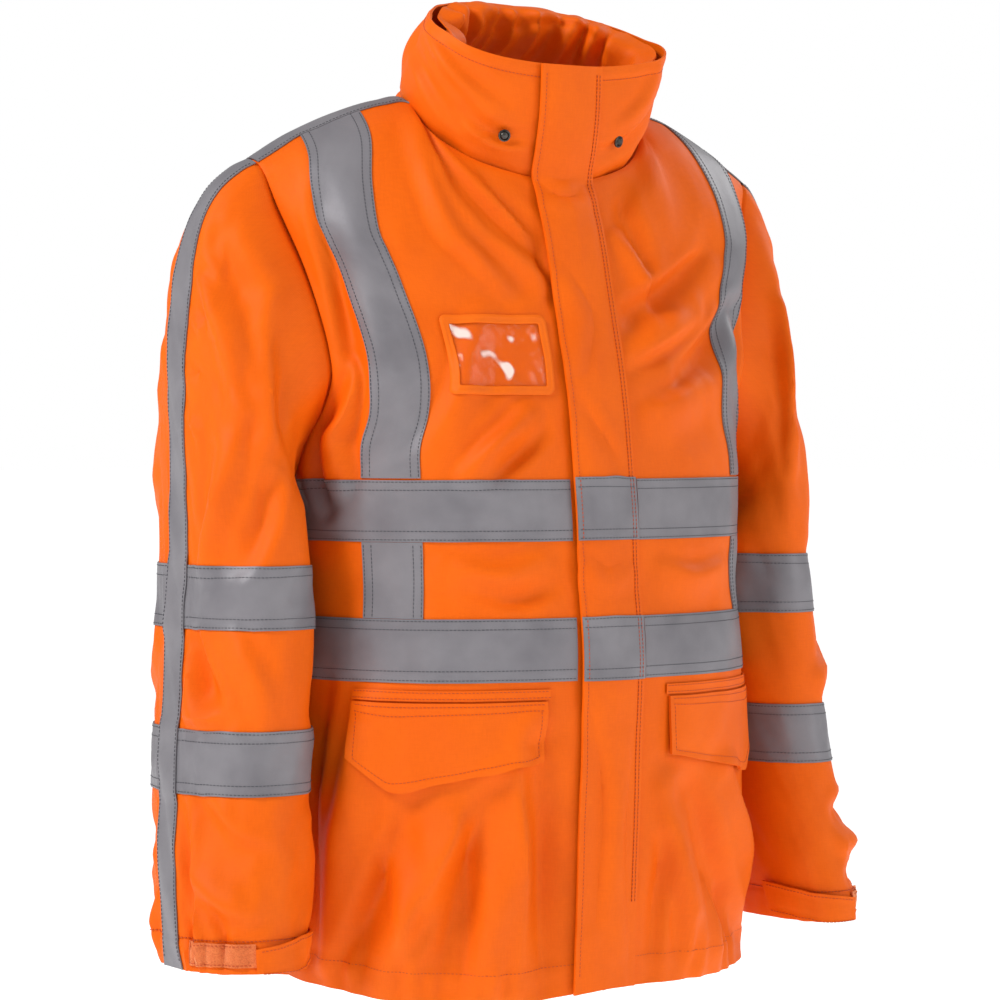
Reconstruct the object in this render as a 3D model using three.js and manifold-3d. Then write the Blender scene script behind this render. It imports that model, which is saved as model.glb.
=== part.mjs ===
// Hi-vis work jacket: hip length, worn form and hollow, with reflective tapes, a storm flap over the zip, a tall
// collar with the hood rolled up inside, two pocket flaps, a pass window and cuff tabs.
// Millimetres, +Z up, the front faces -Y and +X is the wearer's left. Heights in this file are above the lowest
// point of the hem, and the last step lowers everything so that the origin is between the wearer's shoulders.
import * as THREE from 'three';
import Module from 'manifold-3d';
import { mergeVertices } from 'three/addons/utils/BufferGeometryUtils.js';

const wasm = await Module();
wasm.setup();

const HOLD_HEIGHT = 700;
const WALL = 2;
const TAPE_WALL = 1;
const LAYER_GAP = 0.3;
const SEAM_INSET = 0.3;
const ARMPIT_HEIGHT = 418;
const SIDE_Y = 6;
const QUARTER_LENGTH = 290;

// Horizontal sections of the body below the armpit: half width, front and back depth, and squareness.
const BODY_SECTIONS = [
  { height: 0, half: 205, front: 143, back: 148, square: 2.4 },
  { height: 110, half: 204, front: 149, back: 151, square: 2.4 },
  { height: 215, half: 202, front: 155, back: 151, square: 2.4 },
  { height: 282, half: 198, front: 157, back: 147, square: 2.4 },
  { height: 337, half: 196, front: 151, back: 145, square: 2.35 },
  { height: 393, half: 199, front: 147, back: 151, square: 2.4 },
  { height: ARMPIT_HEIGHT, half: 200, front: 144, back: 154, square: 2.4 },
];

// Rows above the armpit, cut at the armhole: heights at the centre and at the armhole, and the armhole's angle.
const YOKE_ROWS = {
  front: [
    { centre: 490, edge: 497, half: 208, depth: 133, square: 2.4, edgeAngle: 20 },
    { centre: 556, edge: 572, half: 217, depth: 116, square: 2.35, edgeAngle: 17 },
    { centre: 610, edge: 635, half: 230, depth: 101, square: 2.3, edgeAngle: 9 },
  ],
  back: [
    { centre: 494, edge: 497, half: 208, depth: 148, square: 2.4, edgeAngle: 24 },
    { centre: 575, edge: 572, half: 217, depth: 132, square: 2.35, edgeAngle: 22 },
    { centre: 660, edge: 635, half: 230, depth: 104, square: 2.3, edgeAngle: 13 },
  ],
};
const YOKE_STEPS = [72, 80, 62, 62, 15];
const TOP_LEVEL = 6;

// The neckline, and the shoulder line from the neck to the top of the armhole.
const NECK = { half: 110, sideY: -20, front: 63, back: 75, frontHeight: 661, sideHeight: 722, backHeight: 750 };
const NECK_CORNER_ANGLE = -10;
const SHOULDER_LINE = [
  { x: 136, y: 0, height: 723 },
  { x: 172, y: 6, height: 710 },
  { x: 206, y: 10, height: 694 },
  { x: 238, y: 12, height: 674 },
];

// Where the columns of a panel lie, as parts of the way from the centre to the side, at each row of the yoke.
const BRACE_IN = 0.306;
const BRACE_OUT = 0.694;
function onShoulder(corner, along) {
  return corner + (1 - corner) * along;
}
const FRONT_COLUMNS = [
  { name: 'centre', at: [0.024, 0.0285, 0.029, 0.0285, 0.027, 0.026], steps: 0 },
  { name: 'flap', at: [0.108, 0.128, 0.132, 0.128, 0.118, 0.112], steps: 1 },
  { name: 'neck', at: [0.4, 0.46, 0.48, 0.495, 0.505, 0.51], steps: 3 },
  { name: 'braceIn', at: [0.545, 0.635, 0.655, 0.66, 0.658, onShoulder(0.51, BRACE_IN)], steps: 2 },
  { name: 'braceOut', at: [0.72, 0.845, 0.86, 0.855, 0.85, onShoulder(0.51, BRACE_OUT)], steps: 2 },
  { name: 'side', at: [1, 1, 1, 1, 1, 1], steps: 3 },
];
const BACK_COLUMNS = [
  { name: 'centre', at: [0, 0, 0, 0, 0, 0], steps: 0 },
  { name: 'neck', at: [0.36, 0.43, 0.45, 0.46, 0.465, 0.47], steps: 4 },
  { name: 'braceIn', at: [0.52, 0.62, 0.635, 0.635, 0.632, onShoulder(0.47, BRACE_IN)], steps: 2 },
  { name: 'braceOut', at: [0.692, 0.835, 0.85, 0.845, 0.84, onShoulder(0.47, BRACE_OUT)], steps: 2 },
  { name: 'side', at: [1, 1, 1, 1, 1, 1], steps: 3 },
];

// Largest folds of the body panels, in the flat panel: across from the centre line and up from the hem. A trough
// has a negative depth.
const BODY_FOLDS = [
  { panel: 'front-1', across: 60, up: 690, acrossTo: 20, upTo: 560, width: 17, depth: -4 },
  { panel: 'front-1', across: 100, up: 655, acrossTo: 55, upTo: 575, width: 16, depth: 4 },
  { panel: 'front-1', across: 84, up: 468, acrossTo: 120, upTo: 424, width: 16, depth: 5 },
  { panel: 'front-1', across: 50, up: 205, acrossTo: 45, upTo: 10, width: 16, depth: -6 },
  { panel: 'front-1', across: 95, up: 160, acrossTo: 150, upTo: 40, width: 18, depth: -6 },
  { panel: 'front-1', across: 80, up: 120, acrossTo: 100, upTo: 0, width: 17, depth: 6 },
  { panel: 'front-1', across: 190, up: 230, acrossTo: 220, upTo: 20, width: 20, depth: 5 },
  { panel: 'front1', across: 120, up: 520, acrossTo: 200, upTo: 570, width: 18, depth: -5 },
  { panel: 'front1', across: 100, up: 150, acrossTo: 185, upTo: 20, width: 20, depth: -6 },
  { panel: 'front1', across: 60, up: 150, acrossTo: 95, upTo: 10, width: 16, depth: 5 },
  { panel: 'back-1', across: 130, up: 640, acrossTo: 60, upTo: 500, width: 19, depth: -6 },
  { panel: 'back-1', across: 80, up: 230, acrossTo: 130, upTo: 30, width: 20, depth: -7 },
  { panel: 'back1', across: 150, up: 600, acrossTo: 90, upTo: 470, width: 18, depth: 5 },
  { panel: 'back1', across: 60, up: 240, acrossTo: 90, upTo: 20, width: 20, depth: 6 },
  { panel: 'back1', across: 180, up: 220, acrossTo: 150, upTo: 60, width: 18, depth: -6 },
];
const FOLD_FADE = 26;

const toRadians = THREE.MathUtils.degToRad;
const lerp = THREE.MathUtils.lerp;
const vector = (x, y, z) => new THREE.Vector3(x, y, z);
const signedPower = (value, power) => Math.sign(value) * Math.abs(value) ** power;

// A smooth value between the rows of a table, by cubic steps through the neighbours.
function tableValue(rows, key, column, at) {
  let index = rows.findIndex((row) => row[key] >= at);
  index = index < 1 ? (index < 0 ? rows.length - 1 : 1) : index;
  const [low, high] = [rows[index - 1], rows[index]];
  const before = rows[Math.max(index - 2, 0)];
  const after = rows[Math.min(index + 1, rows.length - 1)];
  const span = high[key] - low[key];
  const slope = (a, b) => ((b[column] - a[column]) / (b[key] - a[key])) * span;
  const t = THREE.MathUtils.clamp((at - low[key]) / span, 0, 1);
  return hermite(low[column], high[column], slope(before, high), slope(low, after), t);
}

function hermite(from, to, leave, arrive, t) {
  const [t2, t3] = [t * t, t * t * t];
  return (2 * t3 - 3 * t2 + 1) * from + (t3 - 2 * t2 + t) * leave + (3 * t2 - 2 * t3) * to + (t3 - t2) * arrive;
}

// The point a part of the way along a curve, by its length.
const CURVE_STEPS = 40;
function alongCurve(pointAt, part) {
  const points = [];
  const lengths = [0];
  for (let i = 0; i <= CURVE_STEPS; i += 1) {
    points.push(pointAt(i / CURVE_STEPS));
    if (i > 0) lengths.push(lengths[i - 1] + points[i].distanceTo(points[i - 1]));
  }
  const goal = part * lengths[CURVE_STEPS];
  let index = 1;
  while (index < CURVE_STEPS && lengths[index] < goal) index += 1;
  const t = (goal - lengths[index - 1]) / (lengths[index] - lengths[index - 1]);
  return points[index - 1].clone().lerp(points[index], t);
}

// A quarter of a rounded section, from the centre line to an angle short of the side.
function sectionQuarter(face, side, section, edgeAngle, heights, part) {
  const depthSign = face === 'front' ? -1 : 1;
  const reach = section.depth + (face === 'front' ? SIDE_Y : -SIDE_Y);
  return alongCurve((t) => {
    const angle = toRadians(lerp(90, edgeAngle, t));
    const x = section.half * Math.cos(angle) ** (2 / section.square);
    const y = SIDE_Y + depthSign * reach * Math.sin(angle) ** (2 / section.square);
    return vector(side * Math.max(x, 0), y, lerp(heights[0], heights[1], t * t));
  }, part);
}

// How far the hem rises at the centre and the side, and how far it dips between them, fading out upwards.
const HEM = { front: 9, back: 5, side: 16, nearDip: 9, dip: 2, dipReach: 1.3, fadeHeight: 120 };
function hemLift(face, side, part) {
  const dip = face === 'front' && side < 0 ? HEM.nearDip : HEM.dip;
  return lerp(HEM[face], HEM.side, part ** 3) - dip * Math.sin(Math.PI * Math.min(part * HEM.dipReach, 1));
}

function ringPoint(face, side, height, part) {
  const section = {
    half: tableValue(BODY_SECTIONS, 'height', 'half', height),
    depth: tableValue(BODY_SECTIONS, 'height', face, height),
    square: tableValue(BODY_SECTIONS, 'height', 'square', height),
  };
  const lifted = height + hemLift(face, side, part) * Math.max(1 - height / HEM.fadeHeight, 0);
  return sectionQuarter(face, side, section, 0, [lifted, lifted], part);
}

function neckPoint(side, angle) {
  const [sine, cosine] = [Math.sin(toRadians(angle)), Math.cos(toRadians(angle))];
  const isFront = sine > 0;
  const y = NECK.sideY - (isFront ? NECK.front : NECK.back) * sine;
  const rise = isFront ? (NECK.frontHeight - NECK.sideHeight) * sine : (NECK.sideHeight - NECK.backHeight) * sine;
  return vector(side * NECK.half * Math.max(cosine, 0) ** 0.95, y, NECK.sideHeight + rise);
}

// The top edge of a panel: the neckline to the corner at the shoulder, then the shoulder line.
function topEdgePoint(face, side, part) {
  const cornerPart = (face === 'front' ? FRONT_COLUMNS : BACK_COLUMNS).find((row) => row.name === 'neck').at[5];
  const centreAngle = face === 'front' ? 90 : -90;
  if (part <= cornerPart) {
    const neckCurve = (t) => neckPoint(side, lerp(centreAngle, NECK_CORNER_ANGLE, t));
    return alongCurve(neckCurve, part / cornerPart);
  }
  const line = [neckPoint(side, NECK_CORNER_ANGLE)];
  for (const row of SHOULDER_LINE) line.push(vector(side * row.x, row.y, row.height));
  const curve = new THREE.CatmullRomCurve3(line, false, 'centripetal');
  return alongCurve((t) => curve.getPoint(t), (part - cornerPart) / (1 - cornerPart));
}

// The row just under the top edge: below the neckline it follows the chest, on the shoulder it rounds over.
function crestPoint(face, side, part) {
  const top = topEdgePoint(face, side, part);
  const over = THREE.MathUtils.smoothstep(part, 0.05, 0.6);
  const away = face === 'front' ? -1 : 1;
  const drop = vector(0, away * lerp(5, 14.5, over), -lerp(14, 3.5, over));
  return top.add(drop);
}

function controlPoint(face, side, row, part) {
  if (row < 0) return ringPoint(face, side, ARMPIT_HEIGHT - 50, part);
  if (row === 0) return ringPoint(face, side, ARMPIT_HEIGHT, part);
  if (row === 4) return crestPoint(face, side, part);
  if (row >= 5) return topEdgePoint(face, side, part);
  const section = YOKE_ROWS[face][row - 1];
  return sectionQuarter(face, side, section, section.edgeAngle, [section.centre, section.edge], part);
}

// A point of a body panel before its folds. Levels 0 to 1 are hem to armpit, and each whole level above is a row.
function smoothPoint(face, side, level, part) {
  if (level <= 1) return ringPoint(face, side, level * ARMPIT_HEIGHT, part);
  const row = Math.min(Math.floor(level - 1), 4);
  const t = level - 1 - row;
  const [before, from, to] = [-1, 0, 1].map((step) => controlPoint(face, side, row + step, part));
  const after = row < 4 ? controlPoint(face, side, row + 2, part) : null;
  const span = from.distanceTo(to);
  const slope = (a, b, c) => {
    const [first, second] = [a.distanceTo(b), b.distanceTo(c)];
    const tangent = b.clone().sub(a).multiplyScalar(second / first / (first + second));
    return tangent.add(c.clone().sub(b).multiplyScalar(first / second / (first + second))).multiplyScalar(span);
  };
  const leave = slope(before, from, to);
  const arrive = after ? slope(from, to, after) : to.clone().sub(from);
  return vector(
    hermite(from.x, to.x, leave.x, arrive.x, t),
    hermite(from.y, to.y, leave.y, arrive.y, t),
    hermite(from.z, to.z, leave.z, arrive.z, t),
  );
}

function flatUp(level) {
  if (level <= 1) return level * ARMPIT_HEIGHT;
  let up = ARMPIT_HEIGHT;
  YOKE_STEPS.forEach((step, row) => {
    up += step * THREE.MathUtils.clamp(level - 1 - row, 0, 1);
  });
  return up;
}

// Height of all folds at one place of a flat panel, faded out at its seams.
function foldHeight(folds, panel, across, up) {
  let sum = 0;
  for (const fold of folds) {
    if (fold.panel !== panel) continue;
    const [lengthX, lengthY] = [fold.acrossTo - fold.across, fold.upTo - fold.up];
    const along = ((across - fold.across) * lengthX + (up - fold.up) * lengthY) / (lengthX ** 2 + lengthY ** 2);
    const t = THREE.MathUtils.clamp(along, 0, 1);
    const away = Math.hypot(across - fold.across - t * lengthX, up - fold.up - t * lengthY);
    sum += fold.depth * Math.exp(-((away / fold.width) ** 2));
  }
  return sum;
}

function smoothNormal(face, side, level, part) {
  const [stepUp, stepAcross] = [0.02, 0.01];
  const up = smoothPoint(face, side, Math.min(level + stepUp, TOP_LEVEL), part);
  up.sub(smoothPoint(face, side, Math.max(level - stepUp, 0), part));
  const across = smoothPoint(face, side, level, Math.min(part + stepAcross, 1));
  across.sub(smoothPoint(face, side, level, Math.max(part - stepAcross, 0.001)));
  const handed = (face === 'front' ? -1 : 1) * side;
  return across.cross(up).multiplyScalar(-handed).normalize();
}

function bodyPoint(face, side, level, part) {
  const point = smoothPoint(face, side, level, part);
  const toSeam = Math.min((1 - part) * QUARTER_LENGTH, flatUp(TOP_LEVEL) - flatUp(level), FOLD_FADE);
  const centreFade = face === 'back' ? Math.min((part * QUARTER_LENGTH) / FOLD_FADE, 1) : 1;
  const fade = (toSeam / FOLD_FADE) * centreFade;
  const height = foldHeight(BODY_FOLDS, `${face}${side}`, part * QUARTER_LENGTH, flatUp(level)) * fade;
  return height === 0 ? point : point.addScaledVector(smoothNormal(face, side, level, part), height);
}

// Rows and columns of the body grids. Tape edges are grid lines, so that a tape is made from its panel's points.
const LOW_HEIGHTS = [0, 45, 90, 135, 175, 215, 257, 282, 307, 337, 368, 393, ARMPIT_HEIGHT];
const BAND_HEIGHTS = { belly: [257, 307], chest: [368, ARMPIT_HEIGHT] };
const YOKE_ROW_STEPS = [3, 3, 3, 3, 1];
const bodyLevels = LOW_HEIGHTS.map((height) => height / ARMPIT_HEIGHT);
YOKE_ROW_STEPS.forEach((steps, row) => {
  for (let i = 1; i <= steps; i += 1) bodyLevels.push(1 + row + i / steps);
});
const levelIndex = (height) => LOW_HEIGHTS.indexOf(height);
const CREST_INDEX = bodyLevels.length - 2;

function columnParts(columns, level) {
  const place = Math.max(level - 1, 0);
  const row = Math.min(Math.floor(place), 4);
  const parts = [];
  columns.forEach((column) => {
    const here = lerp(column.at[row], column.at[row + 1], place - row);
    const last = parts.at(-1);
    for (let i = 1; i < column.steps; i += 1) parts.push(lerp(last, here, i / column.steps));
    parts.push(here);
  });
  return parts;
}

function columnIndex(columns, name) {
  let index = 0;
  for (const column of columns) {
    index += column.steps;
    if (column.name === name) return index;
  }
  return -1;
}

function halfGrid(face, side) {
  const columns = face === 'front' ? FRONT_COLUMNS : BACK_COLUMNS;
  return bodyLevels.map((level) => columnParts(columns, level).map((part) => bodyPoint(face, side, level, part)));
}

const joinHalves = (right, left) => right.map((row, index) => [...row.slice(1).reverse(), ...left[index]]);
const backHalves = { right: halfGrid('back', -1), left: halfGrid('back', 1) };
// Every grid runs so that rows go up and columns go to the right as seen from outside.
const grids = {
  frontRight: halfGrid('front', -1).map((row) => row.reverse()),
  frontLeft: halfGrid('front', 1),
  back: joinHalves(backHalves.left, backHalves.right),
};

// Unit normals of a grid of points. A closed grid wraps round its columns.
function gridNormals(grid, closed) {
  const count = grid[0].length;
  return grid.map((row, i) => row.map((_, j) => {
    const up = grid[Math.min(i + 1, grid.length - 1)][j].clone().sub(grid[Math.max(i - 1, 0)][j]);
    const next = closed ? (j + 1) % count : Math.min(j + 1, count - 1);
    const last = closed ? (j - 1 + count) % count : Math.max(j - 1, 0);
    return row[next].clone().sub(row[last]).cross(up).normalize();
  }));
}

// A wall between two faces of the same grid, closed at its edges.
function wallGeometry(outer, inner, closed) {
  const [rows, columns] = [outer.length, outer[0].length];
  const positions = [];
  for (const face of [outer, inner]) for (const row of face) for (const point of row) positions.push(...point);
  const outerAt = (i, j) => i * columns + (j % columns);
  const innerAt = (i, j) => rows * columns + outerAt(i, j);
  const triangles = [];
  const quad = (a, b, c, d) => triangles.push(a, b, c, a, c, d);
  const lastColumn = closed ? columns : columns - 1;
  for (let i = 0; i < rows - 1; i += 1) {
    for (let j = 0; j < lastColumn; j += 1) {
      quad(outerAt(i, j), outerAt(i, j + 1), outerAt(i + 1, j + 1), outerAt(i + 1, j));
      quad(innerAt(i, j), innerAt(i + 1, j), innerAt(i + 1, j + 1), innerAt(i, j + 1));
    }
  }
  for (let j = 0; j < lastColumn; j += 1) {
    quad(innerAt(0, j), innerAt(0, j + 1), outerAt(0, j + 1), outerAt(0, j));
    quad(outerAt(rows - 1, j), outerAt(rows - 1, j + 1), innerAt(rows - 1, j + 1), innerAt(rows - 1, j));
  }
  for (let i = 0; !closed && i < rows - 1; i += 1) {
    quad(outerAt(i, 0), outerAt(i + 1, 0), innerAt(i + 1, 0), innerAt(i, 0));
    quad(innerAt(i, columns - 1), innerAt(i + 1, columns - 1), outerAt(i + 1, columns - 1), outerAt(i, columns - 1));
  }
  return geometryOf(positions, triangles);
}

function geometryOf(positions, triangles) {
  const geometry = new THREE.BufferGeometry();
  geometry.setAttribute('position', new THREE.Float32BufferAttribute(positions, 3));
  geometry.setIndex(triangles);
  geometry.computeVertexNormals();
  return geometry;
}

const moved = (grid, normals, by) => grid.map((row, i) => row.map((point, j) => (
  point.clone().addScaledVector(normals[i][j], typeof by === 'function' ? by(i, j) : by))));

// Pulls the edges of a grid inwards, so that neighbours stay apart at their seams.
function insetGrid(grid, amounts) {
  const result = grid.map((row) => row.map((point) => point.clone()));
  const rows = grid.length;
  const columns = grid[0].length;
  const pull = (i, j, towards, amount) => {
    const direction = grid[towards[0]][towards[1]].clone().sub(grid[i][j]);
    const length = direction.length();
    if (amount && length > 0) result[i][j].addScaledVector(direction, amount / length);
  };
  for (let i = 0; i < rows; i += 1) {
    pull(i, 0, [i, 1], amounts.left);
    pull(i, columns - 1, [i, columns - 2], amounts.right);
  }
  for (let j = 0; j < columns; j += 1) {
    pull(0, j, [1, j], amounts.bottom);
    pull(rows - 1, j, [rows - 2, j], amounts.top);
  }
  return result;
}

const cut = (grid, rowFrom, rowTo, from, to) => grid.slice(rowFrom, rowTo + 1).map((row) => row.slice(from, to + 1));

const ORANGE = { color: 0xf0651a, roughness: 0.62, metalness: 0 };
const GREY = { color: 0x8c898c, roughness: 0.42, metalness: 0.1 };
const METAL = { color: 0x4a4742, roughness: 0.35, metalness: 0.9 };
const CLEAR = { color: 0xf0a070, roughness: 0.08, metalness: 0, transparent: true, opacity: 0.5 };

const jacket = new THREE.Group();
jacket.position.z = -HOLD_HEIGHT;

function addPiece(name, geometry, look) {
  const mesh = new THREE.Mesh(geometry, new THREE.MeshStandardMaterial(look));
  mesh.name = name;
  jacket.add(mesh);
  return mesh;
}

// The three body panels. Where two panels meet, both use the mean of their normals, so that their walls do too.
const panelNormals = {};
for (const name of Object.keys(grids)) panelNormals[name] = gridNormals(grids[name], false);
const SAME_PLACE = 1.5;

function edgePlaces(name) {
  const [rows, columns] = [grids[name].length, grids[name][0].length];
  const places = [];
  for (let i = 0; i < rows; i += 1) {
    for (let j = 0; j < columns; j += 1) {
      if (i === rows - 1 || j === 0 || j === columns - 1) places.push({ name, i, j, point: grids[name][i][j] });
    }
  }
  return places;
}

const allPlaces = Object.keys(grids).flatMap(edgePlaces);
const meanNormals = allPlaces.map((place) => {
  const sum = vector(0, 0, 0);
  for (const other of allPlaces) {
    const isSame = other.point.distanceTo(place.point) < SAME_PLACE;
    if (isSame) sum.add(panelNormals[other.name][other.i][other.j]);
  }
  return sum.normalize();
});
allPlaces.forEach((place, index) => {
  panelNormals[place.name][place.i][place.j] = meanNormals[index];
});

for (const [name, node] of [['frontRight', 'front_right'], ['frontLeft', 'front_left'], ['back', 'back']]) {
  const normals = panelNormals[name];
  const edges = { left: SEAM_INSET, right: SEAM_INSET, top: SEAM_INSET, bottom: 0 };
  const outer = insetGrid(grids[name], edges);
  addPiece(node, wallGeometry(outer, moved(outer, normals, -WALL), false), ORANGE);
}

// A strip of tape or cloth made from a stretch of a grid's points, moved out.
function addLayer(name, grid, normals, edges, lift, thick, look) {
  const base = insetGrid(grid, { left: 0, right: 0, top: 0, bottom: 0, ...edges });
  const at = (i, j) => (typeof lift === 'function' ? lift(i, j) : lift);
  const inner = moved(base, normals, at);
  const outer = moved(base, normals, (i, j) => at(i, j) + thick);
  return addPiece(name, wallGeometry(outer, inner, false), look);
}

function panelTape(name, panel, rows, columns, edges) {
  const pick = (source) => cut(source, rows[0], rows[1], columns[0], columns[1]);
  addLayer(name, pick(grids[panel]), pick(panelNormals[panel]), edges, LAYER_GAP, TAPE_WALL, GREY);
}

const UNDER_SLEEVE_GAP = 1.2;
const frontCount = grids.frontLeft[0].length - 1;
const frontAt = (name) => columnIndex(FRONT_COLUMNS, name);
const backSideCount = backHalves.left[0].length - 1;
for (const [band, [low, high]] of Object.entries(BAND_HEIGHTS)) {
  const rows = [levelIndex(low), levelIndex(high)];
  const top = band === 'chest' ? UNDER_SLEEVE_GAP : 0;
  panelTape(`${band}_band_front_right`, 'frontRight', rows, [0, frontCount - frontAt('flap')],
    { left: SEAM_INSET, right: 1, top });
  panelTape(`${band}_band_front_left`, 'frontLeft', rows, [frontAt('flap'), frontCount],
    { left: 1, right: SEAM_INSET, top });
  panelTape(`${band}_band_back`, 'back', rows, [0, 2 * backSideCount],
    { left: SEAM_INSET, right: SEAM_INSET, top });
}

// Braces run up from the bands to the shoulder stripes; a short length joins the two bands on the right front.
const braceRows = [levelIndex(ARMPIT_HEIGHT), CREST_INDEX];
const shortRows = [levelIndex(BAND_HEIGHTS.belly[1]), levelIndex(BAND_HEIGHTS.chest[0])];
const braceEdges = { top: SEAM_INSET, bottom: SEAM_INSET };
const mirrored = (total, from, to) => [total - to, total - from];
const frontBrace = [frontAt('braceIn'), frontAt('braceOut')];
const backBrace = [columnIndex(BACK_COLUMNS, 'braceIn'), columnIndex(BACK_COLUMNS, 'braceOut')];
panelTape('brace_front_right', 'frontRight', braceRows, mirrored(frontCount, ...frontBrace), braceEdges);
panelTape('brace_front_left', 'frontLeft', braceRows, frontBrace, braceEdges);
panelTape('brace_short_right', 'frontRight', shortRows, mirrored(frontCount, ...frontBrace), braceEdges);
panelTape('brace_short_left', 'frontLeft', shortRows, frontBrace, braceEdges);
const backColumnsLeft = mirrored(backSideCount, ...backBrace);
const backColumnsRight = backBrace.map((column) => column + backSideCount);
for (const [side, columns] of [['left', backColumnsLeft], ['right', backColumnsRight]]) {
  panelTape(`brace_back_${side}`, 'back', braceRows, columns, braceEdges);
  panelTape(`brace_short_back_${side}`, 'back', shortRows, columns, braceEdges);
}

// The shoulder stripes lie over the shoulder seam, between the last row of the front and that of the back.
const STRIPE_HALF = 15;
const TOP_INDEX = bodyLevels.length - 1;
const neckToSide = [frontAt('neck'), frontCount];
const backNeck = columnIndex(BACK_COLUMNS, 'neck');
const stripeRows = {
  right: [
    cut(grids.frontRight, CREST_INDEX, TOP_INDEX, ...mirrored(frontCount, ...neckToSide)),
    cut(grids.back, CREST_INDEX, CREST_INDEX, backSideCount + backNeck, 2 * backSideCount)[0].reverse(),
  ],
  left: [
    cut(grids.frontLeft, CREST_INDEX, TOP_INDEX, ...neckToSide),
    cut(grids.back, CREST_INDEX, CREST_INDEX, 0, backSideCount - backNeck)[0].reverse(),
  ],
};
for (const [side, [frontPart, backRow]] of Object.entries(stripeRows)) {
  const grid = [...frontPart, backRow];
  addLayer(`shoulder_stripe_${side}`, grid, gridNormals(grid, false), { left: 0.6, right: 0.6 },
    LAYER_GAP, TAPE_WALL, GREY);
}

// Sleeve rings from the armhole to the cuff, each by its point nearest the body and its outermost point. The rings
// fan round under the arm until they lie level. armhole says how much of the armhole's own shape a ring keeps.
const SLEEVE_SQUARE = 2.2;
// The left sleeve hangs closer to the body than the right one, by this much on its outer side.
const LEFT_PULL = 26;
// Mean width of a sleeve column, and the rings over which its folds fade out at the armhole.
const SLEEVE_COLUMN = 16.5;
const SLEEVE_FADE_RINGS = 3;
const SLEEVE_RINGS = [
  { innerX: 204, innerUp: 418, outerX: 238, outerUp: 674, midY: 10, half: 62, armhole: 1 },
  { innerX: 208, innerUp: 413, outerX: 253, outerUp: 666, midY: 11, half: 64, armhole: 0.78 },
  { innerX: 211, innerUp: 408, outerX: 271, outerUp: 649, midY: 13, half: 67, armhole: 0.5 },
  { innerX: 213, innerUp: 403, outerX: 286, outerUp: 621, midY: 14, half: 70, armhole: 0.28 },
  { innerX: 213, innerUp: 397, outerX: 295, outerUp: 585, midY: 15, half: 74, armhole: 0.12 },
  { innerX: 212, innerUp: 391, outerX: 300, outerUp: 541, midY: 15, half: 77, armhole: 0 },
  { innerX: 209, innerUp: 384, outerX: 302, outerUp: 492, midY: 14, half: 80, armhole: 0 },
  { innerX: 206, innerUp: 376, outerX: 303, outerUp: 444, midY: 12, half: 83, armhole: 0 },
  { innerX: 204, innerUp: 366, outerX: 304, outerUp: 396, midY: 10, half: 84, armhole: 0 },
  { innerX: 203, innerUp: 350, outerX: 305, outerUp: 350, midY: 8, half: 84, armhole: 0, band: 'upper' },
  { innerX: 203, innerUp: 325, outerX: 307, outerUp: 325, midY: 5, half: 84, armhole: 0, band: 'upper' },
  { innerX: 204, innerUp: 300, outerX: 309, outerUp: 300, midY: 3, half: 83, armhole: 0, band: 'upper' },
  { innerX: 207, innerUp: 262, outerX: 312, outerUp: 262, midY: -1, half: 82, armhole: 0 },
  { innerX: 210, innerUp: 222, outerX: 316, outerUp: 222, midY: -5, half: 81, armhole: 0, band: 'lower' },
  { innerX: 212, innerUp: 197, outerX: 319, outerUp: 197, midY: -8, half: 80, armhole: 0, band: 'lower' },
  { innerX: 214, innerUp: 172, outerX: 321, outerUp: 172, midY: -12, half: 79, armhole: 0, band: 'lower' },
  { innerX: 218, innerUp: 140, outerX: 325, outerUp: 140, midY: -18, half: 77, armhole: 0 },
  { innerX: 222, innerUp: 108, outerX: 328, outerUp: 108, midY: -24, half: 75, armhole: 0 },
  { innerX: 226, innerUp: 80, outerX: 330, outerUp: 80, midY: -31, half: 72, armhole: 0 },
  { innerX: 229, innerUp: 60, outerX: 331, outerUp: 60, midY: -36, half: 69, armhole: 0 },
  { innerX: 231, innerUp: 38, outerX: 330, outerUp: 38, midY: -40, half: 67, armhole: 0 },
];

// Largest folds of the sleeves: around from the outermost line, positive to the front, and up from the hem.
const SLEEVE_FOLDS = [
  { panel: 'sleeve-1', across: 60, up: 560, acrossTo: 120, upTo: 470, width: 18, depth: -5 },
  { panel: 'sleeve-1', across: 95, up: 470, acrossTo: 60, upTo: 380, width: 16, depth: 5 },
  { panel: 'sleeve-1', across: 40, up: 285, acrossTo: 90, upTo: 235, width: 15, depth: -5 },
  { panel: 'sleeve-1', across: 60, up: 130, acrossTo: 110, upTo: 100, width: 14, depth: -4 },
  { panel: 'sleeve-1', across: -60, up: 540, acrossTo: -110, upTo: 440, width: 18, depth: -5 },
  { panel: 'sleeve-1', across: -70, up: 280, acrossTo: -110, upTo: 240, width: 15, depth: 4 },
  { panel: 'sleeve1', across: 70, up: 560, acrossTo: 115, upTo: 450, width: 18, depth: -5 },
  { panel: 'sleeve1', across: 50, up: 150, acrossTo: 110, upTo: 110, width: 15, depth: -5 },
  { panel: 'sleeve1', across: 100, up: 290, acrossTo: 50, upTo: 245, width: 15, depth: 4 },
  { panel: 'sleeve1', across: -50, up: 530, acrossTo: -110, upTo: 460, width: 18, depth: 5 },
  { panel: 'sleeve1', across: -110, up: 150, acrossTo: -50, upTo: 110, width: 15, depth: -5 },
];

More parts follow.
